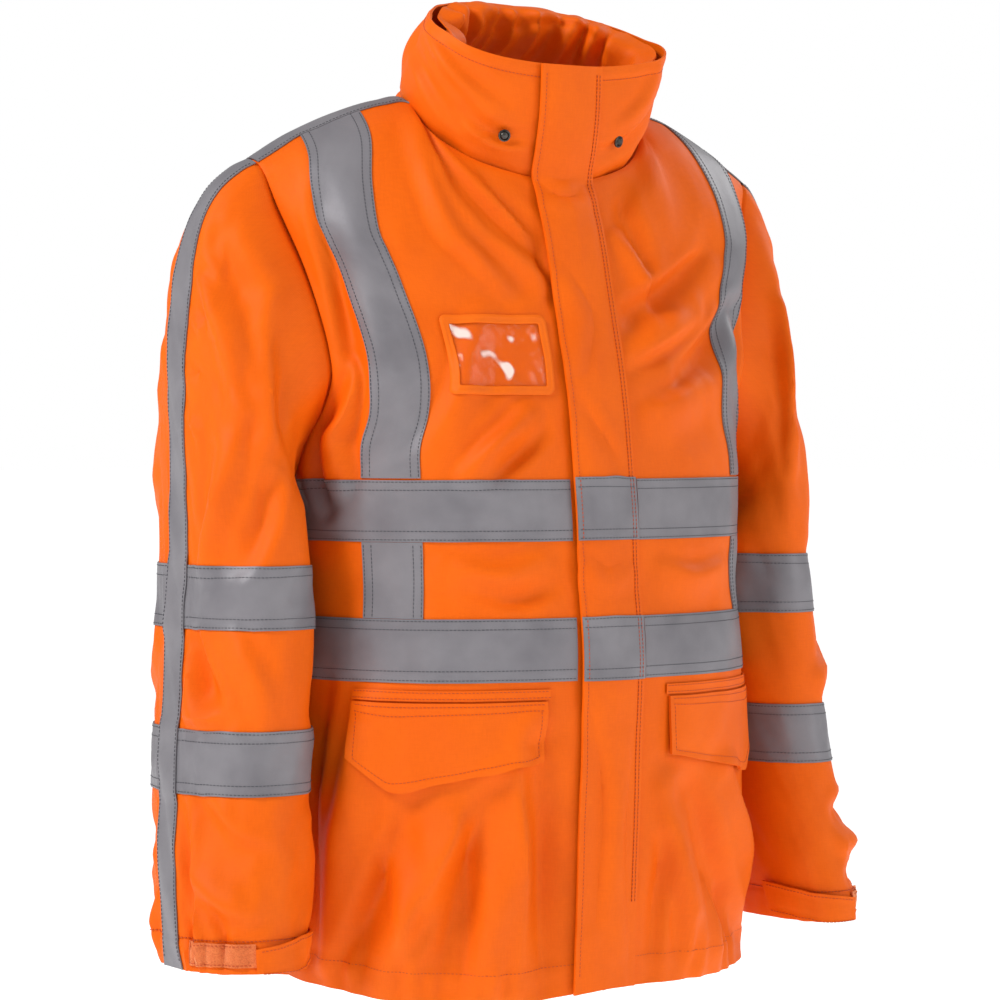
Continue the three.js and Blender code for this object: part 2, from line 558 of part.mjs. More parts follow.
function sleeveSection(side, ring, angle) {
  const [cosine, sine] = [Math.cos(angle), Math.sin(angle)].map((v) => signedPower(v, 2 / SLEEVE_SQUARE));
  const outerX = ring.outerX - (side > 0 ? LEFT_PULL * (1 - ring.armhole) : 0);
  const x = lerp(ring.innerX, outerX, (1 + cosine) / 2);
  const up = lerp(ring.innerUp, ring.outerUp, (1 + cosine) / 2);
  return vector(side * x, ring.midY - ring.half * sine, up);
}

// The armhole as a closed ring of the panels' edge points: top, down the front, armpit, up the back.
function armholeRing(side) {
  const front = side < 0 ? grids.frontRight.map((row) => row[0]) : grids.frontLeft.map((row) => row[frontCount]);
  const back = grids.back.map((row) => (side < 0 ? row[2 * backSideCount] : row[0]));
  const armpit = levelIndex(ARMPIT_HEIGHT);
  return [...front.slice(armpit).reverse(), ...back.slice(armpit + 1, TOP_INDEX)];
}

const armpitColumn = TOP_INDEX - levelIndex(ARMPIT_HEIGHT);
// Where each column lies on a ring, as a part of the half ring: the stripe keeps its width, the rest share evenly.
function halfParts(points, halfLength) {
  const steps = [];
  for (let k = 1; k <= armpitColumn; k += 1) {
    steps.push(k === 1 ? 0 : points[k % points.length].distanceTo(points[k - 1]));
  }
  const total = steps.reduce((sum, step) => sum + step, 0);
  const parts = [0];
  let done = 0;
  for (const step of steps) {
    done += step;
    parts.push(lerp(STRIPE_HALF / halfLength, 1, done / total));
  }
  return parts;
}

const curveLength = (pointAt) => {
  let length = 0;
  for (let i = 1; i <= CURVE_STEPS; i += 1) {
    length += pointAt(i / CURVE_STEPS).distanceTo(pointAt((i - 1) / CURVE_STEPS));
  }
  return length;
};

// One ring of the sleeve in the armhole's order of columns.
function sleeveRing(side, ring, armhole) {
  const halves = [1, -1].map((face) => {
    const curve = (t) => sleeveSection(side, ring, face * Math.PI * t);
    const points = face > 0 ? armhole : [armhole[0], ...armhole.slice(1).reverse()];
    return halfParts(points, curveLength(curve)).map((part) => alongCurve(curve, part));
  });
  return [...halves[0], ...halves[1].slice(1, -1).reverse()];
}

function sleeveGrid(side) {
  const armhole = armholeRing(side);
  const first = sleeveRing(side, SLEEVE_RINGS[0], armhole);
  const rings = SLEEVE_RINGS.map((ring, index) => {
    if (index === 0) return armhole.map((point) => point.clone());
    return sleeveRing(side, ring, armhole).map((point, k) => (
      point.addScaledVector(armhole[k].clone().sub(first[k]), ring.armhole)));
  });
  // From the cuff up, and counter-clockwise from above.
  const grid = rings.reverse().map((ring) => (side < 0 ? ring : [ring[0], ...ring.slice(1).reverse()]));
  const normals = gridNormals(grid, true);
  const count = grid[0].length;
  return grid.map((row, i) => row.map((point, k) => {
    const ahead = side < 0 ? k : (count - k) % count;
    const around = ahead <= count / 2 ? ahead : ahead - count;
    const across = around * SLEEVE_COLUMN;
    const fade = Math.min((grid.length - 1 - i) / SLEEVE_FADE_RINGS, 1);
    const height = foldHeight(SLEEVE_FOLDS, `sleeve${side}`, across, point.z) * fade;
    return point.clone().addScaledVector(normals[i][k], height);
  }));
}

const sleeves = {};
for (const [name, side] of [['right', -1], ['left', 1]]) {
  const grid = sleeveGrid(side);
  const normals = gridNormals(grid, true);
  sleeves[name] = { grid, normals, side };
  const last = grid.length - 1;
  const outer = grid.map((row, i) => row.map((point, k) => (
    i < last ? point : point.clone().add(grid[i - 1][k].clone().sub(point).setLength(2 * SEAM_INSET)))));
  addPiece(`sleeve_${name}`, wallGeometry(outer, moved(outer, normals, -WALL), true), ORANGE);

  // Two bands round each sleeve, and one stripe down its outer side that lies over them.
  const rings = [...SLEEVE_RINGS].reverse();
  for (const band of ['upper', 'lower']) {
    const rows = [rings.findIndex((ring) => ring.band === band), rings.findLastIndex((ring) => ring.band === band)];
    const pick = (source) => source.slice(rows[0], rows[1] + 1);
    const inner = moved(pick(grid), pick(normals), LAYER_GAP);
    const outside = moved(pick(grid), pick(normals), LAYER_GAP + TAPE_WALL);
    addPiece(`sleeve_band_${band}_${name}`, wallGeometry(outside, inner, true), GREY);
  }
  const stripe = (source) => source.map((row) => [row.at(-1), row[0], row[1]]);
  const lift = (i) => (rings[i].band ? 2 * LAYER_GAP + TAPE_WALL : LAYER_GAP);
  addLayer(`sleeve_stripe_${name}`, stripe(grid), stripe(normals), { top: 3, bottom: 0.5 }, lift, TAPE_WALL, GREY);
}

// The collar stands on the neckline and leans forward. Its columns are those of the neckline, halved.
const COLLAR_TOP = { half: 103, sideY: -50, front: 47, back: 64, frontHeight: 753, sideHeight: 781, backHeight: 811 };
const COLLAR_BULGE = 4;
const COLLAR_ROWS = [0.25, 0.5, 0.75, 1];
const CENTRE_GAP_HALF = 7;
const COLLAR_SQUARE = { low: 2.1, high: 2.35 };
const COLLAR_START_POWER = 1.1;
// A first guess of an angle from the centre front, in radians, for a search along the collar.
const NEAR_FRONT_ANGLE = 0.4;
const neckline = [
  ...grids.frontLeft[TOP_INDEX].slice(0, frontAt('neck')),
  ...grids.back[TOP_INDEX].slice(backSideCount - backNeck, backSideCount + backNeck + 1),
  ...grids.frontRight[TOP_INDEX].slice(frontCount - frontAt('neck') + 1),
];
const collarBase = neckline.flatMap((point, index) => (
  index === 0 ? [point] : [point.clone().lerp(neckline[index - 1], 0.5), point]));

function collarSection(height, angle) {
  const mix = (key) => lerp(NECK[key], COLLAR_TOP[key], height);
  const bulge = COLLAR_BULGE * Math.sin(Math.PI * height);
  const [sine, cosine] = [Math.sin(angle), Math.cos(angle)];
  const depth = sine > 0 ? mix('front') + bulge : mix('back') + bulge;
  const rise = sine > 0 ? mix('frontHeight') - mix('sideHeight') : mix('sideHeight') - mix('backHeight');
  const square = lerp(COLLAR_SQUARE.low, COLLAR_SQUARE.high, height);
  const x = (mix('half') + bulge) * signedPower(cosine, 2 / square);
  return vector(x, mix('sideY') - depth * signedPower(sine, 2 / square), mix('sideHeight') + rise * sine);
}

// A point of the collar: around runs from the centre front over the wearer's left and the back to the front again.
function collarPoint(height, around) {
  const half = lerp(NECK.half, COLLAR_TOP.half, height);
  const start = Math.acos((CENTRE_GAP_HALF / half) ** COLLAR_START_POWER);
  return alongCurve((t) => collarSection(height, start - t * 2 * (Math.PI / 2 + start)), around);
}

const ringParts = (points) => {
  const sums = [0];
  for (let k = 1; k < points.length; k += 1) sums.push(sums[k - 1] + points[k].distanceTo(points[k - 1]));
  return sums.map((sum) => sum / sums.at(-1));
};
const collarParts = ringParts(collarBase);
const collarGrid = [
  collarBase,
  ...COLLAR_ROWS.map((height) => collarParts.map((part) => collarPoint(height, part))),
];
const collarNormals = gridNormals(collarGrid, false);
const collarOuter = insetGrid(collarGrid, { bottom: 2 * SEAM_INSET });
addPiece('collar', wallGeometry(collarOuter, moved(collarOuter, collarNormals, -WALL), false), ORANGE);

// The hood is rolled up inside the collar: a gathered wall that bulges into the neck.
const HOOD_ROWS = [
  { height: 0.16, away: 5.2 },
  { height: 0.35, away: 15 },
  { height: 0.58, away: 22 },
  { height: 0.8, away: 20 },
  { height: 0.97, away: 8 },
];
const HOOD_NEAR = 5.2;
const HOOD_COLUMNS = 52;
const HOOD_REACH = [0.1, 0.9];
// The gathers: how many, how deep as a part of the roll, how uneven, and how soon the roll swells from its ends.
const GATHERS = { count: 11, depth: 0.24, drift: 0.37, ends: 2.2 };
const AROUND_STEP = 0.01;
const hoodGrid = HOOD_ROWS.map((row) => {
  const points = [];
  for (let k = 0; k <= HOOD_COLUMNS; k += 1) {
    const around = lerp(HOOD_REACH[0], HOOD_REACH[1], k / HOOD_COLUMNS);
    const wave = Math.sin((k / HOOD_COLUMNS) * GATHERS.count * 2 * Math.PI + Math.sin(k * GATHERS.drift));
    const ends = Math.min(Math.sin((Math.PI * k) / HOOD_COLUMNS) * GATHERS.ends, 1);
    const away = HOOD_NEAR + (row.away - HOOD_NEAR) * ends * (1 + GATHERS.depth * wave);
    const [before, after] = [around - AROUND_STEP, around + AROUND_STEP];
    const tangent = collarPoint(row.height, after).sub(collarPoint(row.height, before));
    const inward = vector(-tangent.y, tangent.x, 0).normalize();
    points.push(collarPoint(row.height, around).addScaledVector(inward, away));
  }
  return points;
});
const hoodNormals = gridNormals(hoodGrid, false);
addPiece('hood_roll', wallGeometry(hoodGrid, moved(hoodGrid, hoodNormals, -WALL), false), ORANGE);

// A line of points up the centre front, over the body and the collar, at one distance from the centre.
function pointAtX(pointAt, startPart, x) {
  let part = startPart;
  let point = pointAt(part);
  for (let i = 0; i < 4; i += 1) {
    part *= Math.abs(x / point.x);
    point = pointAt(part);
  }
  return point;
}

function frontLine(x) {
  const side = Math.sign(x);
  const body = bodyLevels.map((level) => (
    pointAtX((part) => bodyPoint('front', side, level, part), Math.abs(x) / QUARTER_LENGTH, x)));
  const collarLine = COLLAR_ROWS.map((height) => {
    const point = pointAtX((t) => collarSection(height, Math.PI / 2 - t), NEAR_FRONT_ANGLE, Math.abs(x));
    point.x *= side;
    return point;
  });
  return [...body, ...collarLine];
}

const NEAR_CENTRE = 7;
const nearRight = frontLine(-NEAR_CENTRE);
const nearLeft = frontLine(NEAR_CENTRE);
const centreLine = nearRight.map((point, index) => point.clone().lerp(nearLeft[index], 0.5));

// The zip fills the gap between the fronts, from above its slider to the top of the collar.
const ZIP_HALF = 6;
const ZIP_FIRST_ROW = 1;
const ZIP_LIFT = -1.2;
const ZIP_WALL = 2;
const ZIP_LOW_BACK = 1;
const zipGrid = nearRight.slice(ZIP_FIRST_ROW).map((point, index) => {
  const left = nearLeft[index + ZIP_FIRST_ROW];
  const part = (NEAR_CENTRE - ZIP_HALF) / (2 * NEAR_CENTRE);
  return [point.clone().lerp(left, part), left.clone().lerp(point, part)];
});
const ZIP_LOW = 32.5;
zipGrid.unshift(zipGrid[0].map((point) => vector(point.x, point.y + ZIP_LOW_BACK, ZIP_LOW)));
addLayer('zip', zipGrid, gridNormals(zipGrid, false), { top: 1 }, ZIP_LIFT, ZIP_WALL, ORANGE);

// The storm flap lies over the zip: sewn down at the wearer's left, free at the other edge.
const FLAP_COLUMNS = [
  { x: -30, lift: 3.4 },
  { x: -15, lift: 5.2 },
  { x: 0, lift: 5.6 },
  { x: 15, lift: 3.8 },
  { x: 29.5, lift: 0.7 },
];
const FLAP_WALL = 2.2;
const flapLines = FLAP_COLUMNS.map((column) => (column.x === 0 ? centreLine : frontLine(column.x)));
const flapGrid = centreLine.map((_, i) => flapLines.map((line) => line[i].clone()));
const flapNormals = gridNormals(flapGrid, false);
const flapLift = (_, j) => FLAP_COLUMNS[j].lift;
addLayer('storm_flap', flapGrid, flapNormals, { top: 0.5 }, flapLift, FLAP_WALL, ORANGE);
for (const [band, heights] of Object.entries(BAND_HEIGHTS)) {
  const [from, to] = heights.map(levelIndex);
  const pick = (source) => source.slice(from, to + 1);
  addLayer(`${band}_band_flap`, pick(flapGrid), pick(flapNormals), {},
    (i, j) => flapLift(i, j) + FLAP_WALL + LAYER_GAP, TAPE_WALL, GREY);
}

// The level of a front panel that reaches a height.
function levelAt(side, height, part) {
  if (height <= ARMPIT_HEIGHT) return height / ARMPIT_HEIGHT;
  let [low, high] = [1, TOP_LEVEL];
  for (let i = 0; i < 24; i += 1) {
    const middle = (low + high) / 2;
    if (smoothPoint('front', side, middle, part).z < height) low = middle;
    else high = middle;
  }
  return (low + high) / 2;
}

// A grid of points on a front panel, from the centre line outwards, with a height for each row and column.
function frontPatch(side, parts, rows, heightAt) {
  const ordered = side < 0 ? [...parts].reverse() : parts;
  return rows.map((row) => ordered.map((part) => {
    const height = heightAt(row, (part - parts[0]) / (parts.at(-1) - parts[0]));
    return bodyPoint('front', side, levelAt(side, height, part), part);
  }));
}
const evenSteps = (from, to, count) => Array.from({ length: count + 1 }, (_, i) => lerp(from, to, i / count));

// Pocket flaps with a slanted lower edge, deepest at a corner, and a stitched welt above each.
const POCKET = {
  top: 240, parts: [0.2, 0.735], innerDrop: 46, corner: 0.8, cornerDrop: 70, outerDrop: 43,
  rows: [1, 0.66, 0.33, 0], edgeLift: 3.2, liftStep: 0.8, wall: 2.2,
};
const WELT = { low: 241.5, high: 250, parts: [0.19, 0.745], lift: 0.9, wall: 1 };
const PATCH_STEPS = 10;
const pocketDrop = (across) => (across < POCKET.corner
  ? lerp(POCKET.innerDrop, POCKET.cornerDrop, across / POCKET.corner)
  : lerp(POCKET.cornerDrop, POCKET.outerDrop, (across - POCKET.corner) / (1 - POCKET.corner)));
for (const [name, side] of [['right', -1], ['left', 1]]) {
  const flap = frontPatch(side, evenSteps(...POCKET.parts, PATCH_STEPS), POCKET.rows,
    (row, across) => POCKET.top - row * pocketDrop(across));
  const lift = (i) => POCKET.edgeLift - i * POCKET.liftStep;
  addLayer(`pocket_flap_${name}`, flap, gridNormals(flap, false), {}, lift, POCKET.wall, ORANGE);
  const welt = frontPatch(side, evenSteps(...WELT.parts, PATCH_STEPS), [WELT.low, WELT.high], (row) => row);
  addLayer(`pocket_welt_${name}`, welt, gridNormals(welt, false), {}, WELT.lift, WELT.wall, ORANGE);
}

// A loop of points on the right front round a rectangle with rounded corners, for the pass window.
// The panel is panelLength from its centre to the armhole there.
const WINDOW = {
  part: 0.37, panelLength: 228, height: 516, width: 90, tall: 64, frame: 7, corner: 6, cornerShrink: 0.6, arcSteps: 2,
  lift: 1.2, wall: 1.6, gap: 0.6, paneWall: 1,
};
function windowLoop(shrink) {
  const [halfWidth, halfTall] = [WINDOW.width / 2 - shrink, WINDOW.tall / 2 - shrink];
  const radius = WINDOW.corner - shrink * WINDOW.cornerShrink;
  const loop = [];
  const addCorner = (x, up, startAngle) => {
    for (let i = 0; i <= WINDOW.arcSteps; i += 1) {
      const angle = startAngle + (i / WINDOW.arcSteps) * (Math.PI / 2);
      loop.push([x + radius * Math.cos(angle), up + radius * Math.sin(angle)]);
    }
  };
  const addSide = (from, to, count) => {
    for (let i = 1; i < count; i += 1) loop.push([lerp(from[0], to[0], i / count), lerp(from[1], to[1], i / count)]);
  };
  const [x, up] = [halfWidth - radius, halfTall - radius];
  addCorner(x, up, 0);
  addSide([x, halfTall], [-x, halfTall], 4);
  addCorner(-x, up, Math.PI / 2);
  addSide([-halfWidth, up], [-halfWidth, -up], 3);
  addCorner(-x, -up, Math.PI);
  addSide([-x, -halfTall], [x, -halfTall], 4);
  addCorner(x, -up, -Math.PI / 2);
  addSide([halfWidth, -up], [halfWidth, up], 3);
  return loop;
}
function windowPlace([across, up]) {
  const part = WINDOW.part - across / WINDOW.panelLength;
  return ['front', -1, levelAt(-1, WINDOW.height + up, part), part];
}
const windowPoint = (place) => bodyPoint(...windowPlace(place));
const windowNormal = (place) => smoothNormal(...windowPlace(place));
// The frame is a closed wall round its hole: rows are its outer and inner loop.
const frameLoops = [windowLoop(0), windowLoop(WINDOW.frame)];
const liftLoop = (loop, lift) => loop.map((place) => windowPoint(place).addScaledVector(windowNormal(place), lift));
const frameLow = frameLoops.map((loop) => liftLoop(loop, WINDOW.lift));
const frameHigh = frameLoops.map((loop) => liftLoop(loop, WINDOW.lift + WINDOW.wall));
addPiece('pass_frame', wallGeometry(frameHigh, frameLow, true), ORANGE);
const paneSteps = (size, count) => {
  const half = size / 2 - WINDOW.frame - WINDOW.gap;
  return evenSteps(-half, half, count);
};
const paneAcross = paneSteps(WINDOW.width, 5);
const paneGrid = paneSteps(WINDOW.tall, 4).map((up) => paneAcross.map((across) => windowPoint([across, up])));
addLayer('pass_window', paneGrid, gridNormals(paneGrid, false), {}, WINDOW.lift, WINDOW.paneWall, CLEAR);

// Cuff tab and fuzzy strip on each sleeve, made from the sleeve's own columns near the cuff.
const CUFF_PIECES = [
  { name: 'cuff_strip', from: 2, to: 7, low: [43, 43], high: [61, 61], lift: 0.5, wall: 1.2 },
  { name: 'cuff_tab', from: 7, to: 12, low: [31, 43], high: [57, 70], lift: 2.2, wall: 2.4 },
];
function sleevePlace(sleeve, column, height) {
  const { grid, normals, side } = sleeve;
  const count = grid[0].length;
  const index = ((side < 0 ? column : count - column) % count + count) % count;
  let row = grid.findIndex((ring) => ring[index].z > height);
  row = Math.max(row, 1);
  const t = (height - grid[row - 1][index].z) / (grid[row][index].z - grid[row - 1][index].z);
  return {
    point: grid[row - 1][index].clone().lerp(grid[row][index], t),
    normal: normals[row - 1][index].clone().lerp(normals[row][index], THREE.MathUtils.clamp(t, 0, 1)).normalize(),
  };
}
for (const [side, sleeve] of Object.entries(sleeves)) {
  for (const piece of CUFF_PIECES) {
    const columns = evenSteps(piece.from, piece.to, piece.to - piece.from);
    if (sleeve.side > 0) columns.reverse();
    const places = [0, 0.5, 1].map((up) => columns.map((column) => {
      const t = (column - piece.from) / (piece.to - piece.from);
      return sleevePlace(sleeve, column, lerp(lerp(...piece.low, t), lerp(...piece.high, t), up));
    }));
    const points = places.map((row) => row.map((place) => place.point));
    const normals = places.map((row) => row.map((place) => place.normal));
    addLayer(`${piece.name}_${side}`, points, normals, {}, piece.lift, piece.wall, ORANGE);
  }
}

// Snaps low on the collar: a rim and a low dome, turned to face out of the cloth.
const SNAP = { radius: 5, rim: 1.2, dome: 2.6, height: 0.3, lift: 0.6, sides: 16, nearby: 4, above: 0.1 };
const SNAP_PLACES = [
  { name: 'snap_right', x: -56 },
  { name: 'snap_left', x: 54 },
];
function snapGeometry() {
  const profile = [
    [0, 0], [SNAP.radius, 0], [SNAP.radius, SNAP.rim], [SNAP.radius * 0.78, SNAP.rim + 0.3],
    [SNAP.radius * 0.68, SNAP.rim - 0.2], [SNAP.radius * 0.5, SNAP.rim + 0.7], [0, SNAP.dome],
  ];
  return new THREE.LatheGeometry(profile.map(([x, y]) => new THREE.Vector2(x, y)), SNAP.sides);
}
for (const place of SNAP_PLACES) {
  const side = Math.sign(place.x);
  const onCollar = (height, x) => pointAtX((t) => collarSection(height, Math.PI / 2 - t), NEAR_FRONT_ANGLE, x);
  const found = onCollar(SNAP.height, Math.abs(place.x));
  const above = onCollar(SNAP.height + SNAP.above, Math.abs(place.x));
  const beside = onCollar(SNAP.height, Math.abs(place.x) + SNAP.nearby);
  const normal = beside.sub(found).cross(above.sub(found)).normalize();
  const snap = addPiece(place.name, snapGeometry(), METAL);
  normal.x *= side;
  found.x *= side;
  snap.position.copy(found.addScaledVector(normal, SNAP.lift));
  snap.quaternion.setFromUnitVectors(vector(0, 1, 0), normal);
}

// Lower zip slider: a body with a bridge, and the wire pull that hangs from the bridge below the hem.
const SLIDER = {
  width: 10, low: 16, high: 32, depth: 3, behind: 1.2, bridgeWidth: 4, bridgeOut: 4, bridgeShort: 3, holeShort: 6,
  holeDepth: 2.5, holeOut: 1.35,
};
const PULL = { wire: 1.5, width: 11.5, drop: 13, pivotHeight: 20, sides: 6, steps: 10 };
function solidOf(geometry) {
  const bare = mergeVertices(geometry.clone().deleteAttribute('normal').deleteAttribute('uv'));
  const mesh = new wasm.Mesh({
    numProp: 3,
    vertProperties: bare.attributes.position.array,
    triVerts: new Uint32Array(bare.index.array),
  });
  return new wasm.Manifold(mesh);
}
function sliderGeometry() {
  const height = SLIDER.high - SLIDER.low;
  const body = new THREE.BoxGeometry(SLIDER.width, SLIDER.depth, height);
  const bridge = new THREE.BoxGeometry(SLIDER.bridgeWidth, SLIDER.bridgeOut + 1, height - SLIDER.bridgeShort);
  bridge.translate(0, -(SLIDER.depth + SLIDER.bridgeOut - 1) / 2, 0);
  const hole = new THREE.BoxGeometry(SLIDER.width, SLIDER.holeDepth, height - SLIDER.holeShort);
  hole.translate(0, -SLIDER.depth / 2 - SLIDER.holeOut, 0);
  const mesh = solidOf(body).add(solidOf(bridge)).subtract(solidOf(hole)).getMesh();
  return geometryOf([...mesh.vertProperties], [...mesh.triVerts]);
}
const slider = addPiece('zip_slider', sliderGeometry(), METAL);
slider.position.set(0, centreLine[0].y + SLIDER.behind, (SLIDER.low + SLIDER.high) / 2);

// A closed loop of wire, square at the top and round at the bottom, lying in the plane of the front.
function pullGeometry() {
  const path = [];
  const half = PULL.width / 2;
  for (let i = 0; i <= PULL.steps; i += 1) {
    const angle = -Math.PI * (i / PULL.steps);
    path.push([half * Math.cos(angle), -PULL.drop + half + half * Math.sin(angle)]);
  }
  const bend = 1;
  const mid = -PULL.drop / 4;
  path.push([-half, mid], [-half, -bend], [-half + bend, 0], [0, 0], [half - bend, 0], [half, -bend], [half, mid]);
  const positions = [];
  const triangles = [];
  const count = path.length;
  path.forEach(([x, z], i) => {
    const [before, after] = [path[(i - 1 + count) % count], path[(i + 1) % count]];
    const along = vector(after[0] - before[0], 0, after[1] - before[1]).normalize();
    const outward = vector(-along.z, 0, along.x);
    for (let k = 0; k < PULL.sides; k += 1) {
      const angle = (k / PULL.sides) * 2 * Math.PI;
      const radius = PULL.wire / 2;
      const offset = outward.clone().multiplyScalar(radius * Math.cos(angle));
      positions.push(x + offset.x, radius * Math.sin(angle), z + offset.z);
      const [here, next] = [i * PULL.sides, ((i + 1) % count) * PULL.sides];
      const around = (k + 1) % PULL.sides;
      triangles.push(here + k, next + k, next + around, here + k, next + around, here + around);
    }
  });
  return geometryOf(positions, triangles);
}
const pull = addPiece('zip_pull', pullGeometry(), METAL);
pull.position.set(0, slider.position.y - SLIDER.depth / 2 - SLIDER.holeOut, PULL.pivotHeight);

export default jacket;
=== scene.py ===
"""Looks of a hi-vis work jacket: worn form, reflective tapes, storm flap, tall collar with the hood rolled inside.

Shapes are worked out in millimetres, with heights above the hem's lowest point as in the CAD source, and turned
into metres in the frame when a mesh is made. Rows of a surface run up, columns run to the right as seen from
outside.
"""
import math

import bpy
import numpy as np
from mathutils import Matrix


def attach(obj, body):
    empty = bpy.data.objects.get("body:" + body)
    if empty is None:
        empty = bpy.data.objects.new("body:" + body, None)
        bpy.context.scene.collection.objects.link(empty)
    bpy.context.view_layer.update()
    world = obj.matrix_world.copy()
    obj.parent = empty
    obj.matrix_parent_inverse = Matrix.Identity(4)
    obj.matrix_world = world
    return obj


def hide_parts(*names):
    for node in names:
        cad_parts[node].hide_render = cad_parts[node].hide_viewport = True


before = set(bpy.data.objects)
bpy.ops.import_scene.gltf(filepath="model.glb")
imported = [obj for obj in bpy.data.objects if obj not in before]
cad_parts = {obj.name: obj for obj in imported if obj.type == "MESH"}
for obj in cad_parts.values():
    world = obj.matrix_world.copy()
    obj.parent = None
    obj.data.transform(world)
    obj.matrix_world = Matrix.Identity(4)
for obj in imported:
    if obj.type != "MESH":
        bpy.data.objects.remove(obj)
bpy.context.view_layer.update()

HOLD_HEIGHT = 700
WALL = 2
ARMPIT = 418
SIDE_Y = 6
QUARTER = 290
TOP_LEVEL = 6
COLLAR_HEIGHT = 92

# Steps of a mesh in each cell of its grid.
ROW_STEPS = 8
COLUMN_STEPS = 7
ROUND_STEPS = 4
FLAP_STEPS = 6
STRIPE_STEPS = 5

# Horizontal sections below the armpit: height, half width, front depth, back depth, squareness.
BODY_SECTIONS = [
    (0, 205, 143, 148, 2.4),
    (110, 204, 149, 151, 2.4),
    (215, 202, 155, 151, 2.4),
    (282, 198, 157, 147, 2.4),
    (337, 196, 151, 145, 2.35),
    (393, 199, 147, 151, 2.4),
    (418, 200, 144, 154, 2.4),
]
# Rows above the armpit: height at the centre and at the armhole, half width, depth, squareness, armhole's angle.
YOKE_ROWS = {
    "front": [(490, 497, 208, 133, 2.4, 20), (556, 572, 217, 116, 2.35, 17), (610, 635, 230, 101, 2.3, 9)],
    "back": [(494, 497, 208, 148, 2.4, 24), (575, 572, 217, 132, 2.35, 22), (660, 635, 230, 104, 2.3, 13)],
}
YOKE_STEPS = [72, 80, 62, 62, 15]
NECK = dict(half=110, side_y=-20, front=63, back=75, front_up=661, side_up=722, back_up=750)
NECK_CORNER = -10
SHOULDER_LINE = [(136, 0, 723), (172, 6, 710), (206, 10, 694), (238, 12, 674)]
COLLAR_TOP = dict(half=103, side_y=-50, front=47, back=64, front_up=753, side_up=781, back_up=811)
COLLAR_BULGE = 4
COLLAR_ROWS = [0.25, 0.5, 0.75, 1]


def on_shoulder(corner, along):
    return corner + (1 - corner) * along


# Columns of a panel as parts of the way from the centre to the side, at each row of the yoke, and their steps.
FRONT_COLUMNS = [
    ("centre", [0.024, 0.0285, 0.029, 0.0285, 0.027, 0.026], 0),
    ("flap", [0.108, 0.128, 0.132, 0.128, 0.118, 0.112], 1),
    ("neck", [0.4, 0.46, 0.48, 0.495, 0.505, 0.51], 3),
    ("brace_in", [0.545, 0.635, 0.655, 0.66, 0.658, on_shoulder(0.51, 0.306)], 2),
    ("brace_out", [0.72, 0.845, 0.86, 0.855, 0.85, on_shoulder(0.51, 0.694)], 2),
    ("side", [1, 1, 1, 1, 1, 1], 3),
]
BACK_COLUMNS = [
    ("centre", [0, 0, 0, 0, 0, 0], 0),
    ("neck", [0.36, 0.43, 0.45, 0.46, 0.465, 0.47], 4),
    ("brace_in", [0.52, 0.62, 0.635, 0.635, 0.632, on_shoulder(0.47, 0.306)], 2),
    ("brace_out", [0.692, 0.835, 0.85, 0.845, 0.84, on_shoulder(0.47, 0.694)], 2),
    ("side", [1, 1, 1, 1, 1, 1], 3),
]
LOW_HEIGHTS = [0, 45, 90, 135, 175, 215, 257, 282, 307, 337, 368, 393, 418]
YOKE_ROW_STEPS = [3, 3, 3, 3, 1]
LEVELS = [height / ARMPIT for height in LOW_HEIGHTS]
for yoke_row, row_steps in enumerate(YOKE_ROW_STEPS):
    LEVELS += [1 + yoke_row + (i + 1) / row_steps for i in range(row_steps)]
BELLY_ROWS = (6, 8)
CHEST_ROWS = (10, 12)
ARMPIT_ROW = 12
TOP_ROW = len(LEVELS) - 1
CREST_ROW = TOP_ROW - 1

# Sleeve rings from the armhole down: the point nearest the body, the outermost point, the middle's y, half
# depth, and how much of the armhole's own shape the ring keeps.
SLEEVE_RINGS = [
    (204, 418, 238, 674, 10, 62, 1), (208, 413, 253, 666, 11, 64, 0.78), (211, 408, 271, 649, 13, 67, 0.5),
    (213, 403, 286, 621, 14, 70, 0.28), (213, 397, 295, 585, 15, 74, 0.12), (212, 391, 300, 541, 15, 77, 0),
    (209, 384, 302, 492, 14, 80, 0), (206, 376, 303, 444, 12, 83, 0), (204, 366, 304, 396, 10, 84, 0),
    (203, 350, 305, 350, 8, 84, 0), (203, 325, 307, 325, 5, 84, 0), (204, 300, 309, 300, 3, 83, 0),
    (207, 262, 312, 262, -1, 82, 0), (210, 222, 316, 222, -5, 81, 0), (212, 197, 319, 197, -8, 80, 0),
    (214, 172, 321, 172, -12, 79, 0), (218, 140, 325, 140, -18, 77, 0), (222, 108, 328, 108, -24, 75, 0),
    (226, 80, 330, 80, -31, 72, 0), (229, 60, 331, 60, -36, 69, 0), (231, 38, 330, 38, -40, 67, 0),
]
SLEEVE_SQUARE = 2.2
LEFT_PULL = 26
STRIPE_HALF = 15
SLEEVE_COLUMN = 16.5
SLEEVE_UPPER_ROWS = (9, 11)
SLEEVE_LOWER_ROWS = (5, 7)


def lerp(start, end, t):
    return start + (end - start) * t


def hermite(start, end, leave, arrive, t):
    t2, t3 = t * t, t * t * t
    return (2 * t3 - 3 * t2 + 1) * start + (t3 - 2 * t2 + t) * leave + (3 * t2 - 2 * t3) * end + (t3 - t2) * arrive


def smoothstep(value, low, high):
    t = np.clip((value - low) / (high - low), 0, 1)
    return t * t * (3 - 2 * t)


def signed_power(value, power):
    return np.sign(value) * np.abs(value) ** power


